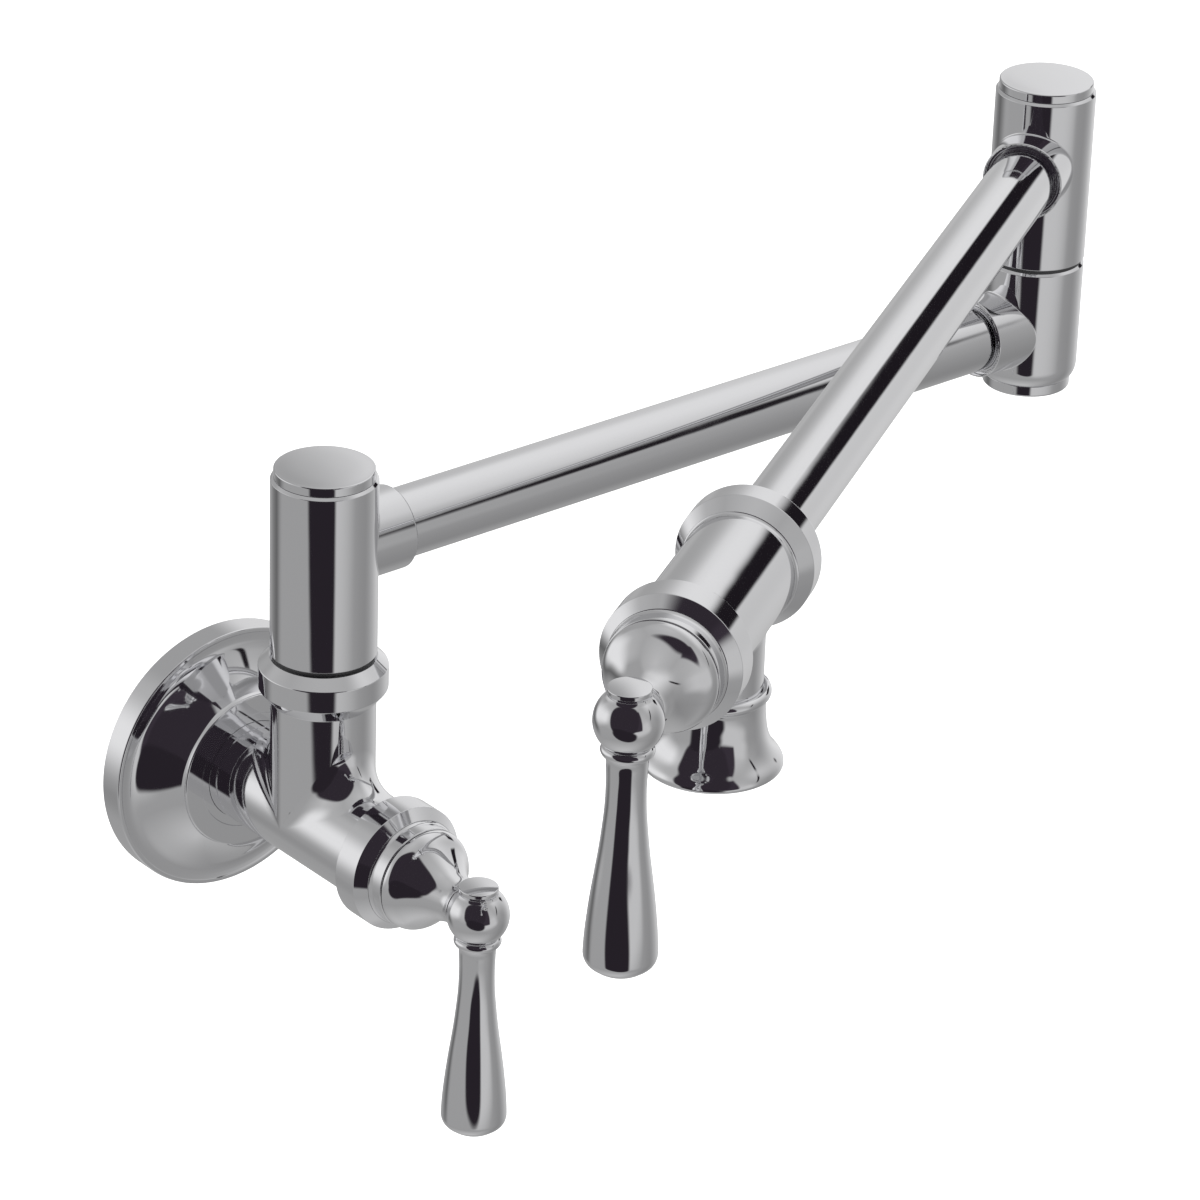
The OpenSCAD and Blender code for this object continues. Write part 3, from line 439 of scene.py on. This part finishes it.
# ---------------------------------------------------------------- wall flange
def flange_skin():
    """Pressed cover: straight rim, rolled lip, hollow sweep and flat-topped boss, of thin sheet and open at the
    back."""
    bore = BODY_R + 0.06
    sweep = flowing([(36.6, 7.12), (33.8, 7.0), (31.2, 8.1), (27.3, 10.6), (23.9, 13.5), (22.35, 15.2)],
                    start=(-1, -0.1), end=(-0.85, 1))
    outer = np.vstack([
        cornered((FLANGE_R - SHEET, 0, 0.2), (FLANGE_R, 0, 0.3), (FLANGE_R, RIM_HEIGHT, 0.45),
                 (36.85, RIM_HEIGHT, 0.12), (36.6, 7.1), closed=False)[:-1],
        sweep,
        cornered((22.35, 15.2), (BOSS_R + 0.35, BOSS_HEIGHT, 0.45), (16.8, BOSS_HEIGHT, 0.12),
                 (16.6, BOSS_HEIGHT - 0.3, 0.08), (bore, BOSS_HEIGHT - 0.3, 0.08), (bore, BOSS_HEIGHT - 6),
                 closed=False)[1:]])
    inner = flowing([(bore + 3.2, BOSS_HEIGHT - 6), (20.6, 11.6), (23.8, 7.9), (28.6, 5.9), (33.4, 5.2), (36.0, 5.1),
                     (36.4, 4.6), (36.4, 2.0)])
    return turned(np.vstack([outer, inner]), at_wall)


chromed("flange", "wall_body", flange_skin())


# ---------------------------------------------------------------- valve bodies
def ring_edge(start):
    """Outline of a raised ring: tiny back chamfer, straight band and a broad front chamfer down to its foot."""
    return [(BODY_R, start), (RING_R - 0.3, start, 0.08), (RING_R, start + 0.3, 0.12),
            (RING_R, start + RING_LENGTH, 0.25), (RING_FOOT_R, BODY_FRONT, 0.2)]


def cove(inner_r, outer_r, start, length=1.2):
    """Hollow foot of a ring, a circle arc tangent to the cylinder that it runs out on: it falls from outer_r at start
    to inner_r over the length."""
    half = np.arctan((outer_r - inner_r) / length)
    rho = length / np.sin(2 * half)
    t = np.linspace(2 * half, 0, 7)
    return [(inner_r + rho * (1 - np.cos(a)), start + length - rho * np.sin(a)) for a in t]


FRONT_BORES = [(COUNTERBORE_R, BODY_FRONT), (COUNTERBORE_R, CARTRIDGE_FLANGE_Z), (CHAMBER_R, CARTRIDGE_FLANGE_Z),
               (CHAMBER_R, CHAMBER_BACK)]


def threaded_mouth(place, start, end, r):
    """Inner wall of a pipe thread: radius r + height times a triangle wave of (z / pitch - v / 2 pi), fading out at
    both ends, closed by a plain wall a little further out."""
    pitch, height, turns, rows = 1.81, 0.85, 96, 150
    v = np.linspace(0, 2 * np.pi, turns, endpoint=False)
    z = np.linspace(start, end, rows)[:, None]
    phase = (z / pitch - v / (2 * np.pi)) % 1
    wave = np.clip(1.6 * (1 - np.abs(2 * phase - 1)) - 0.3, 0, 1)
    fade = np.clip((z - start) / 0.8, 0, 1) * np.clip((end - z) / 1.5, 0, 1)
    radius = r + height * wave * fade
    wall = np.full((1, turns), r + height + 0.6)
    radius = np.vstack([radius, wall, wall])
    z = np.vstack([np.broadcast_to(z, (rows, turns)), np.full((1, turns), end), np.full((1, turns), start)])
    return woven(place(radius * np.cos(v), radius * np.sin(v), z))


def tee_skins():
    """Inlet valve body: the horizontal body, the upright neck with its collar, and the fillet between them."""
    hollow = cornered((BODY_R, RING_START), *ring_edge(RING_START)[1:], *FRONT_BORES, (WATERWAY_R, CHAMBER_BACK),
                      (WATERWAY_R, -POST_OUT + THREAD_DEPTH), (THREAD_R + 1.1, -POST_OUT + THREAD_DEPTH),
                      (THREAD_R + 1.1, -POST_OUT + 0.9), (THREAD_R + 1.6, -POST_OUT), (BODY_R, -POST_OUT, 0.3))
    neck = cornered((SLEEVE_BORE_R + FIT, FOOT_Z), (BODY_R, FOOT_Z), (BODY_R, COLLAR_FOOT_Z, 0.5),
                    (COLLAR_R, COLLAR_FOOT_Z + 4.0, 0.4), (COLLAR_R, COLLAR_TOP_Z - 2.8, 0.4),
                    (COLLAR_MOUTH_R, COLLAR_TOP_Z, 0.15), (SLEEVE_BORE_R + FIT, COLLAR_TOP_Z))
    return (turned(hollow, at_inlet_valve),
            turned(neck, at_neck, foot=NECK_FOOT_R),
            tee_fillet(BODY_R, BODY_R, TEE_FILLET, at_neck),
            threaded_mouth(at_inlet_valve, -POST_OUT + 0.5, -POST_OUT + THREAD_DEPTH, THREAD_R))


chromed("tee_body", "wall_body", *tee_skins())


def outlet_skins():
    """Outlet valve body: rear ring, body, front ring, the neck down to the nozzle and its fillet."""
    hollow = cornered(
        (TUBE_R + FIT, -OUTLET_BACK, 0.15), (RING_FOOT_R, -OUTLET_BACK, 0.3), (RING_R, -REAR_RING_BACK, 0.6),
        (RING_R, -REAR_RING_FRONT, 0.3), (RING_FOOT_R, REAR_SLOPE_END, 0.12),
        *cove(BODY_R, RING_FOOT_R, REAR_SLOPE_END + 0.05), (BODY_R, RING_START),
        *ring_edge(RING_START)[1:], *FRONT_BORES, (WATERWAY_R, CHAMBER_BACK), (WATERWAY_R, -OUTLET_BACK + 12),
        (TUBE_R + FIT, -OUTLET_BACK + 12))
    spigot_r, spigot_end = 9.0, NOZZLE_TOP + 8.6
    neck = cornered((OUTLET_DROP_BORE_R, FOOT_Z), (OUTLET_NECK_R, FOOT_Z), (OUTLET_NECK_R, NOZZLE_TOP + 1.0),
                    (spigot_r, NOZZLE_TOP + 1.0), (spigot_r, spigot_end), (OUTLET_DROP_BORE_R, spigot_end))
    return (turned(hollow, at_outlet_valve), turned(neck, at_outlet_drop, foot=NECK_FOOT_R),
            tee_fillet(OUTLET_NECK_R, BODY_R, 3.6, at_outlet_drop))


chromed("outlet_body", "second_arm", *outlet_skins())


def bonnet_skin(place):
    """Round ring that screws into a valve body's mouth in front of the cartridge."""
    screwed_r, shown_r, bore_r = COUNTERBORE_R - FIT, BODY_R + 0.08, 6.3
    back = CARTRIDGE_FLANGE_Z + 3
    return turned(cornered((screwed_r, back), (screwed_r, BODY_FRONT),
                           *cove(shown_r, RING_FOOT_R - 0.1, BODY_FRONT + 0.1), (shown_r, BONNET_FRONT, 0.35),
                           (bore_r, BONNET_FRONT, 0.1), (bore_r, back)), place)


chromed("inlet_bonnet_ring", "wall_body", bonnet_skin(at_inlet_valve))
chromed("outlet_bonnet_ring", "second_arm", bonnet_skin(at_outlet_valve))


# ---------------------------------------------------------------- swivel sleeves
def socket_skins(place, reach):
    """Side socket that stands on its sleeve, with a shallow recess in its mouth, and the small fillet at its foot."""
    mouth_r, recess_r = 11.1, 10.2
    wall = cornered((TUBE_R + FIT, FOOT_Z), (SOCKET_R, FOOT_Z), (SOCKET_R, reach, 0.45), (mouth_r, reach, 0.15),
                    (mouth_r, reach - 1.8, 0.3), (recess_r, reach - 1.8, 0.1), (recess_r, reach - 1.2, 0.1),
                    (TUBE_R + FIT, reach - 1.2, 0.1))
    return (turned(wall, place, foot=SOCKET_FOOT_R),
            tee_fillet(SOCKET_R, SLEEVE_R, 0.5, place, steps=8))


def sleeve_skins(post, socket, z0):
    """Turning sleeve: bored through, with a pocket and chamfer at the top and its socket on one side."""
    top = z0 + SLEEVE_H
    wall = cornered((SLEEVE_BORE_R, z0, 0.1), (SLEEVE_R, z0, 0.25), (SLEEVE_R, top, 0.15),
                    (SLEEVE_R - SLEEVE_CHAMFER, top + SLEEVE_CHAMFER, 0.1), (POCKET_R, top + SLEEVE_CHAMFER),
                    (POCKET_R, top - POCKET_H), (SLEEVE_BORE_R, top - POCKET_H))
    return (turned(wall, post), *socket_skins(socket, SOCKET_REACH))


def cap_skin(post, z0):
    """Sleeve cap: a spigot, a thin seam and a low dome with a small round edge."""
    head_r, dome_foot = 13.45, (12.95, z0 + 2.62)
    dome = flowing([dome_foot, (10.5, z0 + 2.83), (5.5, z0 + 3.1), (0, z0 + 3.2)], start=(-1, 0.08), end=(-1, 0))
    edge = cornered((0, z0 - 2.8), (POCKET_R - FIT, z0 - 2.8), (POCKET_R - FIT, z0 + 0.05),
                    (head_r, z0 + 0.05, 0.08), (head_r, z0 + 2.6, 0.4), dome_foot, closed=False)
    return turned(np.vstack([edge[:-1], dome]), post)


chromed("arm_1_sleeve", "first_arm", *sleeve_skins(at_post, at_arm_1, SLEEVE_1_Z))
chromed("arm_1_cap", "first_arm", cap_skin(at_post, SLEEVE_1_Z + SLEEVE_H + SLEEVE_CHAMFER))
chromed("arm_2_sleeve", "second_arm", *sleeve_skins(at_elbow_turned, at_arm_2, SLEEVE_2_Z))
chromed("arm_2_cap", "second_arm", cap_skin(at_elbow_turned, SLEEVE_2_Z + SLEEVE_H + SLEEVE_CHAMFER))


def tube_skin(place, start, end):
    """Straight arm tube with its wall."""
    return turned(cornered((TUBE_BORE_R, start), (TUBE_R, start), (TUBE_R, end), (TUBE_BORE_R, end)), place)


chromed("arm_1_tube", "first_arm", tube_skin(at_arm_1, TUBE_SEAT, ARM_1_LENGTH - TUBE_SEAT))
chromed("arm_2_tube", "second_arm", tube_skin(at_arm_2, TUBE_SEAT, ARM_2_LENGTH - OUTLET_BACK + 11))


def elbow_skins():
    """Lower half of the elbow: drawn in at the bottom, with the first arm's far socket."""
    foot = flowing([(ELBOW_MOUTH_R, ELBOW_BOTTOM_Z), (13.65, ELBOW_BOTTOM_Z + 1.3), (14.18, ELBOW_BOTTOM_Z + 3.0),
                    (SLEEVE_R, ELBOW_BOTTOM_Z + 4.6)], start=(1, 0.75), end=(0, 1))
    rest = cornered((SLEEVE_R, ELBOW_BOTTOM_Z + 4.6), (SLEEVE_R, ELBOW_TOP_Z - SLEEVE_CHAMFER, 0.15),
                    (SLEEVE_R - SLEEVE_CHAMFER, ELBOW_TOP_Z, 0.1), (SLEEVE_BORE_R, ELBOW_TOP_Z),
                    (SLEEVE_BORE_R, ELBOW_BOTTOM_Z), closed=False)[1:]
    return (turned(np.vstack([foot, rest]), at_elbow), *socket_skins(at_elbow_socket, SOCKET_REACH + 0.6))


def bottom_cap_skin():
    """Plug under the elbow, with a round edge and a spigot in the bore."""
    low, spigot_r, spigot_top = ELBOW_BOTTOM_Z - 3.3, SLEEVE_BORE_R - FIT, ELBOW_BOTTOM_Z + 5
    return turned(cornered((0, low), (ELBOW_MOUTH_R, low, 0.6), (ELBOW_MOUTH_R, ELBOW_BOTTOM_Z - 0.04, 0.1),
                           (spigot_r, ELBOW_BOTTOM_Z), (spigot_r, spigot_top), (0, spigot_top), closed=False),
                  at_elbow)


chromed("elbow_lower_sleeve", "first_arm", *elbow_skins())
chromed("elbow_bottom_cap", "first_arm", bottom_cap_skin())


# ---------------------------------------------------------------- handles
def hub_skins(valve):
    """Handle hub: domed skirt, narrow flared neck and the ball, which is turned about the lever's axis."""
    dome = flowing([(HUB_R, HUB_BACK + 0.35), (13.75, 45.9), (12.9, 47.2), (11.75, 48.4), (10.3, 50.1), (9.0, 51.9),
                    (7.9, 53.7), (7.08, 55.5), (6.5, 57.3), (6.0, 59.2), (5.98, 60.2), (6.25, 61.1), (6.55, 61.6)],
                   start=(0.0, 1), end=(0.6, 1), step=0.3)
    stem_bore, bore_start = STEM_R + FIT, HUB_BACK + HUB_BORE_DEPTH
    skirt = cornered((stem_bore, bore_start), (7.2, bore_start), (7.2, bore_start - 0.6), (HUB_R - 2.6, HUB_BACK),
                     (HUB_R, HUB_BACK, 0.2), (HUB_R, HUB_BACK + 0.35), closed=False)
    neck_end = cornered((6.55, 61.6), (6.6, 62.1, 0.15), (stem_bore, 62.1), closed=False)[1:]
    flat_top, flat_bottom = -6.35, 6.0
    top_angle, bottom_angle = np.degrees(np.arcsin([flat_top / BALL_R, flat_bottom / BALL_R]))
    round_side = arc(0, 0, BALL_R, top_angle + 2, bottom_angle, steps=46)
    cap = cornered((0, flat_top), (5.2, flat_top - 0.35, 0.12), (round_side[0, 0] + 0.05, round_side[0, 1]),
                   closed=False)[:-1]
    return (turned(np.vstack([skirt[:-1], dome, neck_end]), valve),
            turned(np.vstack([cap, round_side, [(0, flat_bottom)]]), at_ball(valve)))


def lever_skin(ball):
    """Turned lever: bead under the ball, waist, swelling grip, round shoulder and a low domed end."""
    grip = flowing([(5.15, 9.2), (4.86, 11.5), (4.74, 15.0), (4.73, 18.3), (4.87, 22.5), (5.27, 27.4), (5.97, 33.9),
                    (6.98, 41.3), (7.99, 49.6), (8.58, 56.2), (8.76, 60.4)], start=(-0.35, 1), end=(0.02, 1))
    shoulder = flowing([(8.76, 60.4), (8.6, 61.5), (7.95, 62.7), (7.0, 63.5)], start=(0.02, 1), end=(-1, 0.75),
                       step=0.15)
    end = flowing([(6.85, 63.6), (5.6, 64.5), (3.2, 65.45), (0, 65.8)], start=(-1, 0.95), end=(-1, 0), step=0.3)
    bead = arc(4.9, 7.47, 1.42, -75, 62, steps=16)
    return turned(np.vstack([[(0, 6.05), (4.9, 6.05)], bead, cornered((5.55, 8.75), (5.2, 8.95), closed=False),
                             grip, shoulder[1:], end]), ball)


def button_skin(ball):
    """Small button over the ball, with an undercut, a soft edge and a low domed top."""
    edge = cornered((0, -6.3), (4.75, -6.3), (4.75, -7.0, 0.1), (5.25, -7.25, 0.15), (5.25, -8.35, 0.3),
                    (4.85, -8.41), closed=False)
    return turned(np.vstack([edge[:-1], arc(0, 26.0, 34.75, 278, 270)]), ball)


for side, valve, body in (("inlet", at_inlet_valve, "inlet_handle"), ("outlet", at_outlet_valve, "outlet_handle")):
    chromed(side + "_handle_hub", body, *hub_skins(valve))
    chromed(side + "_lever", body, lever_skin(at_ball(valve)))
    chromed(side + "_lever_button", body, button_skin(at_ball(valve)))


# ---------------------------------------------------------------- nozzle
def nozzle_skin():
    """Bell nozzle: round bead, waist, flared lip with a soft edge, and the mouth around the aerator."""
    bead = arc(12.2, 24.15, 1.5, -125, 75, steps=20)
    bell = flowing([(12.62, 25.9), (12.48, 27.2), (12.5, 29.2), (12.72, 31.6), (13.05, 34.2), (13.55, 36.2),
                    (14.35, 38.2), (15.5, 40.0), (16.75, 41.55), (17.3, 42.7)], start=(-0.25, 1), end=(0.25, 1),
                   step=0.3)
    floor_z, seat_z, seat_r = NOZZLE_TOP + 10.2, NOZZLE_TOP + 9.4, 9.05
    lip = cornered((17.3, 42.7), (17.42, NOZZLE_BOTTOM, 0.9), (15.6, NOZZLE_BOTTOM, 0.4),
                   (AERATOR_R, AERATOR_BOTTOM, 0.1), (AERATOR_R, floor_z), (OUTLET_DROP_BORE_R, floor_z),
                   (OUTLET_DROP_BORE_R, seat_z), (seat_r, seat_z), (seat_r, NOZZLE_TOP + 0.8), closed=False)[1:]
    return turned(np.vstack([bead, bell, lip]), at_outlet_drop)


chromed("outlet_nozzle", "second_arm", nozzle_skin())


# ---------------------------------------------------------------- floor, light and camera
SQUARE = [(-1, -1), (1, -1), (1, 1), (-1, 1)]


def floor():
    """Plain pale floor far below the fixture, white to the camera and not seen in the chrome."""
    reach, low = 30.0, -0.5
    mesh = bpy.data.meshes.new("floor")
    mesh.from_pydata([(x * reach, y * reach, low) for x, y in SQUARE], [], [(0, 1, 2, 3)])
    made = bpy.data.objects.new("floor", mesh)
    bpy.context.scene.collection.objects.link(made)
    paint = bpy.data.materials.new("pale_floor")
    paint.use_nodes = True
    tree = paint.node_tree
    shader = tree.nodes["Principled BSDF"]
    shader.inputs["Base Color"].default_value = (0.9, 0.9, 0.9, 1)
    shader.inputs["Roughness"].default_value = 0.9
    shader.inputs["Emission Color"].default_value = (1, 1, 1, 1)
    shader.inputs["Emission Strength"].default_value = 1.0
    mesh.materials.append(paint)
    made.visible_glossy = False


floor()


def radiance(shade):
    """Light that chrome shows as this shade between 0 and 1: ((s + 0.055) / 1.055)^2.4 over the chrome's own 0.8."""
    return ((shade + 0.055) / 1.055) ** 2.4 / 0.8


CARD_INPUTS = [("Direction", VECTOR, (0, 1, 0)), ("Turn", VECTOR, (0, 0, 0)), ("Half Width", FLOAT, 10.0),
               ("Half Height", FLOAT, 10.0)]


def angles_off(made, given):
    """Angles in degrees from a card's middle to a direction, sideways and upwards: |atan2(x, y)| and |atan2(z, y)|,
    with the direction turned so that the card faces +Y."""
    faced = node(made, "ShaderNodeMapping", [("Vector", given.outputs["Direction"]),
                                             ("Rotation", given.outputs["Turn"])], vector_type="TEXTURE")
    along = node(made, "ShaderNodeSeparateXYZ", [(0, faced.outputs[0])]).outputs
    return [math(made, "DEGREES", math(made, "ABSOLUTE", math(made, "ARCTAN2", along[axis], along["Y"])))
            for axis in "XZ"]


def fade(made, value, edge, half_soft):
    """Mask that falls smoothly from 1 to 0 as the value passes the edge, from half_soft before to half_soft after."""
    return node(made, "ShaderNodeMapRange", [
        ("Value", value), ("From Min", math(made, "SUBTRACT", edge, half_soft)),
        ("From Max", math(made, "ADD", edge, half_soft)), ("To Min", 1.0), ("To Max", 0.0)],
        interpolation_type="SMOOTHSTEP").outputs[0]


def card_group():
    """Oblong card with soft edges, laid over the light behind it: its mask is one fade at each half size, multiplied,
    all in degrees."""
    made, given, result = group(
        "card", CARD_INPUTS + [("Soft Width", FLOAT, 5.0), ("Soft Height", FLOAT, 5.0),
                               ("Behind", COLOUR, (0, 0, 0, 1)), ("Shade", COLOUR, (0, 0, 0, 1))],
        [("Light", COLOUR)])
    sides = [
        fade(made, angle, given.outputs["Half " + side], math(made, "MULTIPLY", given.outputs["Soft " + side], 0.5))
        for angle, side in zip(angles_off(made, given), ("Width", "Height"))]
    laid = node(made, "ShaderNodeMix", [("Factor", math(made, "MULTIPLY", *sides)), (6, given.outputs["Behind"]),
                                        (7, given.outputs["Shade"])], data_type="RGBA")
    made.links.new(laid.outputs[2], result.inputs["Light"])
    return made


def panel_group():
    """Oblong with round corners and a soft edge: its mask fades where (|a / w|^n + |b / h|^n)^(1/n) passes 1, with a
    and b the two angles, w and h the half sizes and n the squareness."""
    made, given, result = group("panel", CARD_INPUTS + [("Softness", FLOAT, 0.1), ("Squareness", FLOAT, 6.0)],
                                [("Mask", FLOAT)])
    power = given.outputs["Squareness"]
    parts = [math(made, "POWER", math(made, "DIVIDE", angle, given.outputs[size]), power)
             for angle, size in zip(angles_off(made, given), ("Half Width", "Half Height"))]
    reach = math(made, "POWER", math(made, "ADD", *parts), math(made, "DIVIDE", 1.0, power))
    made.links.new(fade(made, reach, 1.0, given.outputs["Softness"]), result.inputs["Mask"])
    return made


def card_axes(azimuth, elevation, roll):
    """Right, facing and up directions of a card. facing = (sin a cos e, cos a cos e, sin e), and the other two are
    rolled about it."""
    a, e, turn = np.radians([azimuth, elevation, roll])
    facing = np.array([np.sin(a) * np.cos(e), np.cos(a) * np.cos(e), np.sin(e)])
    right = np.array([np.cos(a), -np.sin(a), 0.0])
    over = np.cross(right, facing)
    return right * np.cos(turn) + over * np.sin(turn), facing, over * np.cos(turn) - right * np.sin(turn)


def place_card(tree, kind, way, name, azimuth, elevation, roll, width, tall):
    """A card or panel group in a tree, with its place and its half sizes."""
    laid = node(tree, "ShaderNodeGroup", node_tree=kind, label=name)
    tree.links.new(way, laid.inputs["Direction"])
    axes = np.stack(card_axes(azimuth, elevation, roll), 1)
    laid.inputs["Turn"].default_value = Matrix(axes.tolist()).to_euler("XYZ")
    laid.inputs["Half Width"].default_value = width
    laid.inputs["Half Height"].default_value = tall
    return laid


def tinted(shade):
    """Light of a card of this shade. The dark flags are a little purple."""
    tint = FLAG_TINT if shade < DARK else np.ones(3)
    return (*(radiance(shade) * tint), 1)


def flag(panel, away, name, azimuth, elevation, roll, width, tall, soft, square, shade):
    """Dark flag near the fixture: a flat panel, facing the middle of the studio from this many metres away, that only
    the chrome sees. Its corners are m + away (f +- r tan w +- u tan h)."""
    right, facing, over = card_axes(azimuth, elevation, roll)
    wide, high = np.tan(np.radians([width + soft, tall + soft]))
    corners = [STUDIO_MIDDLE + away * (facing + right * wide * x + over * high * y) for x, y in SQUARE]
    mesh = bpy.data.meshes.new("flag_" + name.replace(" ", "_"))
    mesh.from_pydata([tuple(c) for c in corners], [], [(0, 1, 2, 3)])
    made = bpy.data.objects.new(mesh.name, mesh)
    bpy.context.scene.collection.objects.link(made)
    paint = bpy.data.materials.new(mesh.name)
    paint.use_nodes = True
    tree = paint.node_tree
    place = node(tree, "ShaderNodeTexCoord").outputs["Object"]
    way = node(tree, "ShaderNodeVectorMath", [(0, place), (1, tuple(STUDIO_MIDDLE))], operation="SUBTRACT")
    laid = place_card(tree, panel, way.outputs[0], name, azimuth, elevation, roll, width, tall)
    laid.inputs["Softness"].default_value = soft / (width + tall)       # half of it, over the mean half size
    laid.inputs["Squareness"].default_value = square
    shader = tree.nodes["Principled BSDF"]
    tree.links.new(laid.outputs["Mask"], shader.inputs["Alpha"])
    shader.inputs["Emission Color"].default_value = tinted(shade)
    shader.inputs["Base Color"].default_value = (0, 0, 0, 1)
    shader.inputs["Specular IOR Level"].default_value = 0.0
    shader.inputs["Roughness"].default_value = 1.0
    shader.inputs["Emission Strength"].default_value = 1.0
    mesh.materials.append(paint)
    for kind in ("camera", "diffuse", "transmission", "volume_scatter", "shadow"):
        setattr(made, "visible_" + kind, False)


# Light behind the cards: elevation in degrees and the shade that chrome shows
ROOM = [(-90, 0.74), (-45, 0.585), (-15, 0.6), (15, 0.71), (50, 0.63), (90, 0.71)]
# Softboxes and flags far away: azimuth from +Y towards +X, elevation, roll, half width, half height and softness in
# degrees, one softness for both sides or one for each, and shade
CARDS = [
    ("right softbox", 85, 18, -12.5, 45.5, 50, 36, 0.85),
    ("back wall", 8, 26, 0, 26, 30, 14, 0.6),
    ("left softbox", -37.5, 3.4, -21, 31, 15.3, 23, 0.87),
    ("dark foot, left", -7.4, -19.6, 26.5, 24, 7.1, 21.5, 0.35),
    ("grey side, right", 123, -1.3, -47.5, 31.5, 36, 75, 0.57),
    ("grey floor, right", 114.7, -45.8, -14.3, 19.4, 34.6, 56, 0.51),
    ("front glow", 182, -11.3, -13, 31, 17.6, 18, 0.73),
    ("long flag", 79.4, 17.8, -18, 13.4, 6.1, 3.5, 0.1),
    ("short flag", 139.9, 20.2, 119.3, 12, 1.8, (11, 1.8), 0.1),
    ("tent side", -166.4, 16.7, -4.2, 16, 30.2, 5, 0.2),
]
# Two panels stand nearer: their distance in metres from the middle of the studio, and then as above, with one
# softness and the squareness before the shade
STUDIO_MIDDLE = np.array([0.12, -0.05, 0.04])
FLAGS = [
    (0.81, "camera tent", -126.6, 21.5, -3.5, 34.6, 33.5, 6, 4.5, 0.17),
    (0.82, "tent foot", -130, -14.5, 15.2, 27.6, 14.4, 5.5, 2.8, 0.14),
]
DARK = 0.3                      # a shade below this is a flag
FLAG_TINT = np.array([1.05, 0.84, 1.12])


def studio():
    """World light: a soft grey room with softboxes and dark flags, plain white where the camera sees it."""
    made = bpy.data.worlds.new("studio")
    bpy.context.scene.world = made
    made.use_nodes = True
    tree = made.node_tree
    way = node(tree, "ShaderNodeTexCoord").outputs["Generated"]
    height = math(tree, "ARCSINE", node(tree, "ShaderNodeSeparateXYZ", [(0, way)]).outputs["Z"])
    share = math(tree, "ADD", math(tree, "DIVIDE", height, np.pi), 0.5)
    room = node(tree, "ShaderNodeValToRGB", [(0, share)])
    for stop, (elevation, shade) in enumerate(ROOM):
        at = elevation / 180 + 0.5
        ramp = room.color_ramp.elements
        entry = ramp[0] if stop == 0 else ramp[-1] if stop == len(ROOM) - 1 else ramp.new(at)
        entry.position, entry.color = at, (*[radiance(shade)] * 3, 1)
    light = room.outputs[0]
    card, panel = card_group(), panel_group()
    for *place, soft, shade in CARDS:
        laid = place_card(tree, card, way, *place)
        laid.inputs["Soft Width"].default_value, laid.inputs["Soft Height"].default_value = np.broadcast_to(soft, 2)
        laid.inputs["Shade"].default_value = tinted(shade)
        tree.links.new(light, laid.inputs["Behind"])
        light = laid.outputs["Light"]
    seen = node(tree, "ShaderNodeLightPath").outputs["Is Camera Ray"]
    shown = node(tree, "ShaderNodeMix", [("Factor", seen), (6, light), (7, (1, 1, 1, 1))], data_type="RGBA")
    tree.links.new(shown.outputs[2], tree.nodes["Background"].inputs["Color"])
    for away, *shape in FLAGS:
        flag(panel, away, *shape)


studio()
bpy.context.scene.view_settings.view_transform = "Standard"

# The camera fitted to the photo: angles in degrees, distance in the fit's unit, slides as shares of the distance,
# and focal length in pixels
AZIMUTH, ELEVATION, ROLL = -40.54357706, 26.41962844, 1.91656479
DISTANCE, SLIDE_X, SLIDE_Y = 1593.29421, -0.05234314, 0.04037509
FOCAL_PIXELS = 5306.7307605
UNIT_MM = 0.895
PHOTO_PIXELS, SENSOR_MM = 1200, 36.0


def photo_camera():
    """Camera of the photo. back = (sin a cos e, -cos a cos e, sin e) points at it, and it is rolled about that
    line."""
    a, e, roll = np.radians([AZIMUTH, ELEVATION, ROLL])
    back = np.array([np.sin(a) * np.cos(e), -np.cos(a) * np.cos(e), np.sin(e)])
    right = np.array([np.cos(a), np.sin(a), 0.0])
    over = np.cross(back, right)
    right, over = right * np.cos(roll) + over * np.sin(roll), over * np.cos(roll) - right * np.sin(roll)
    eye = (back - right * SLIDE_X + over * SLIDE_Y) * DISTANCE * UNIT_MM + POST_MIDDLE
    data = bpy.data.cameras.new("photo_camera")
    data.sensor_width, data.lens = SENSOR_MM, FOCAL_PIXELS / PHOTO_PIXELS * SENSOR_MM
    data.clip_start, data.clip_end = 0.05, 100.0
    camera = bpy.data.objects.new("photo_camera", data)
    camera.matrix_world = Matrix((
        (right[0], over[0], back[0], eye[0] * MM), (right[1], over[1], back[1], eye[1] * MM),
        (right[2], over[2], back[2], eye[2] * MM), (0, 0, 0, 1)))
    bpy.context.scene.collection.objects.link(camera)
    bpy.context.scene.camera = camera


photo_camera()
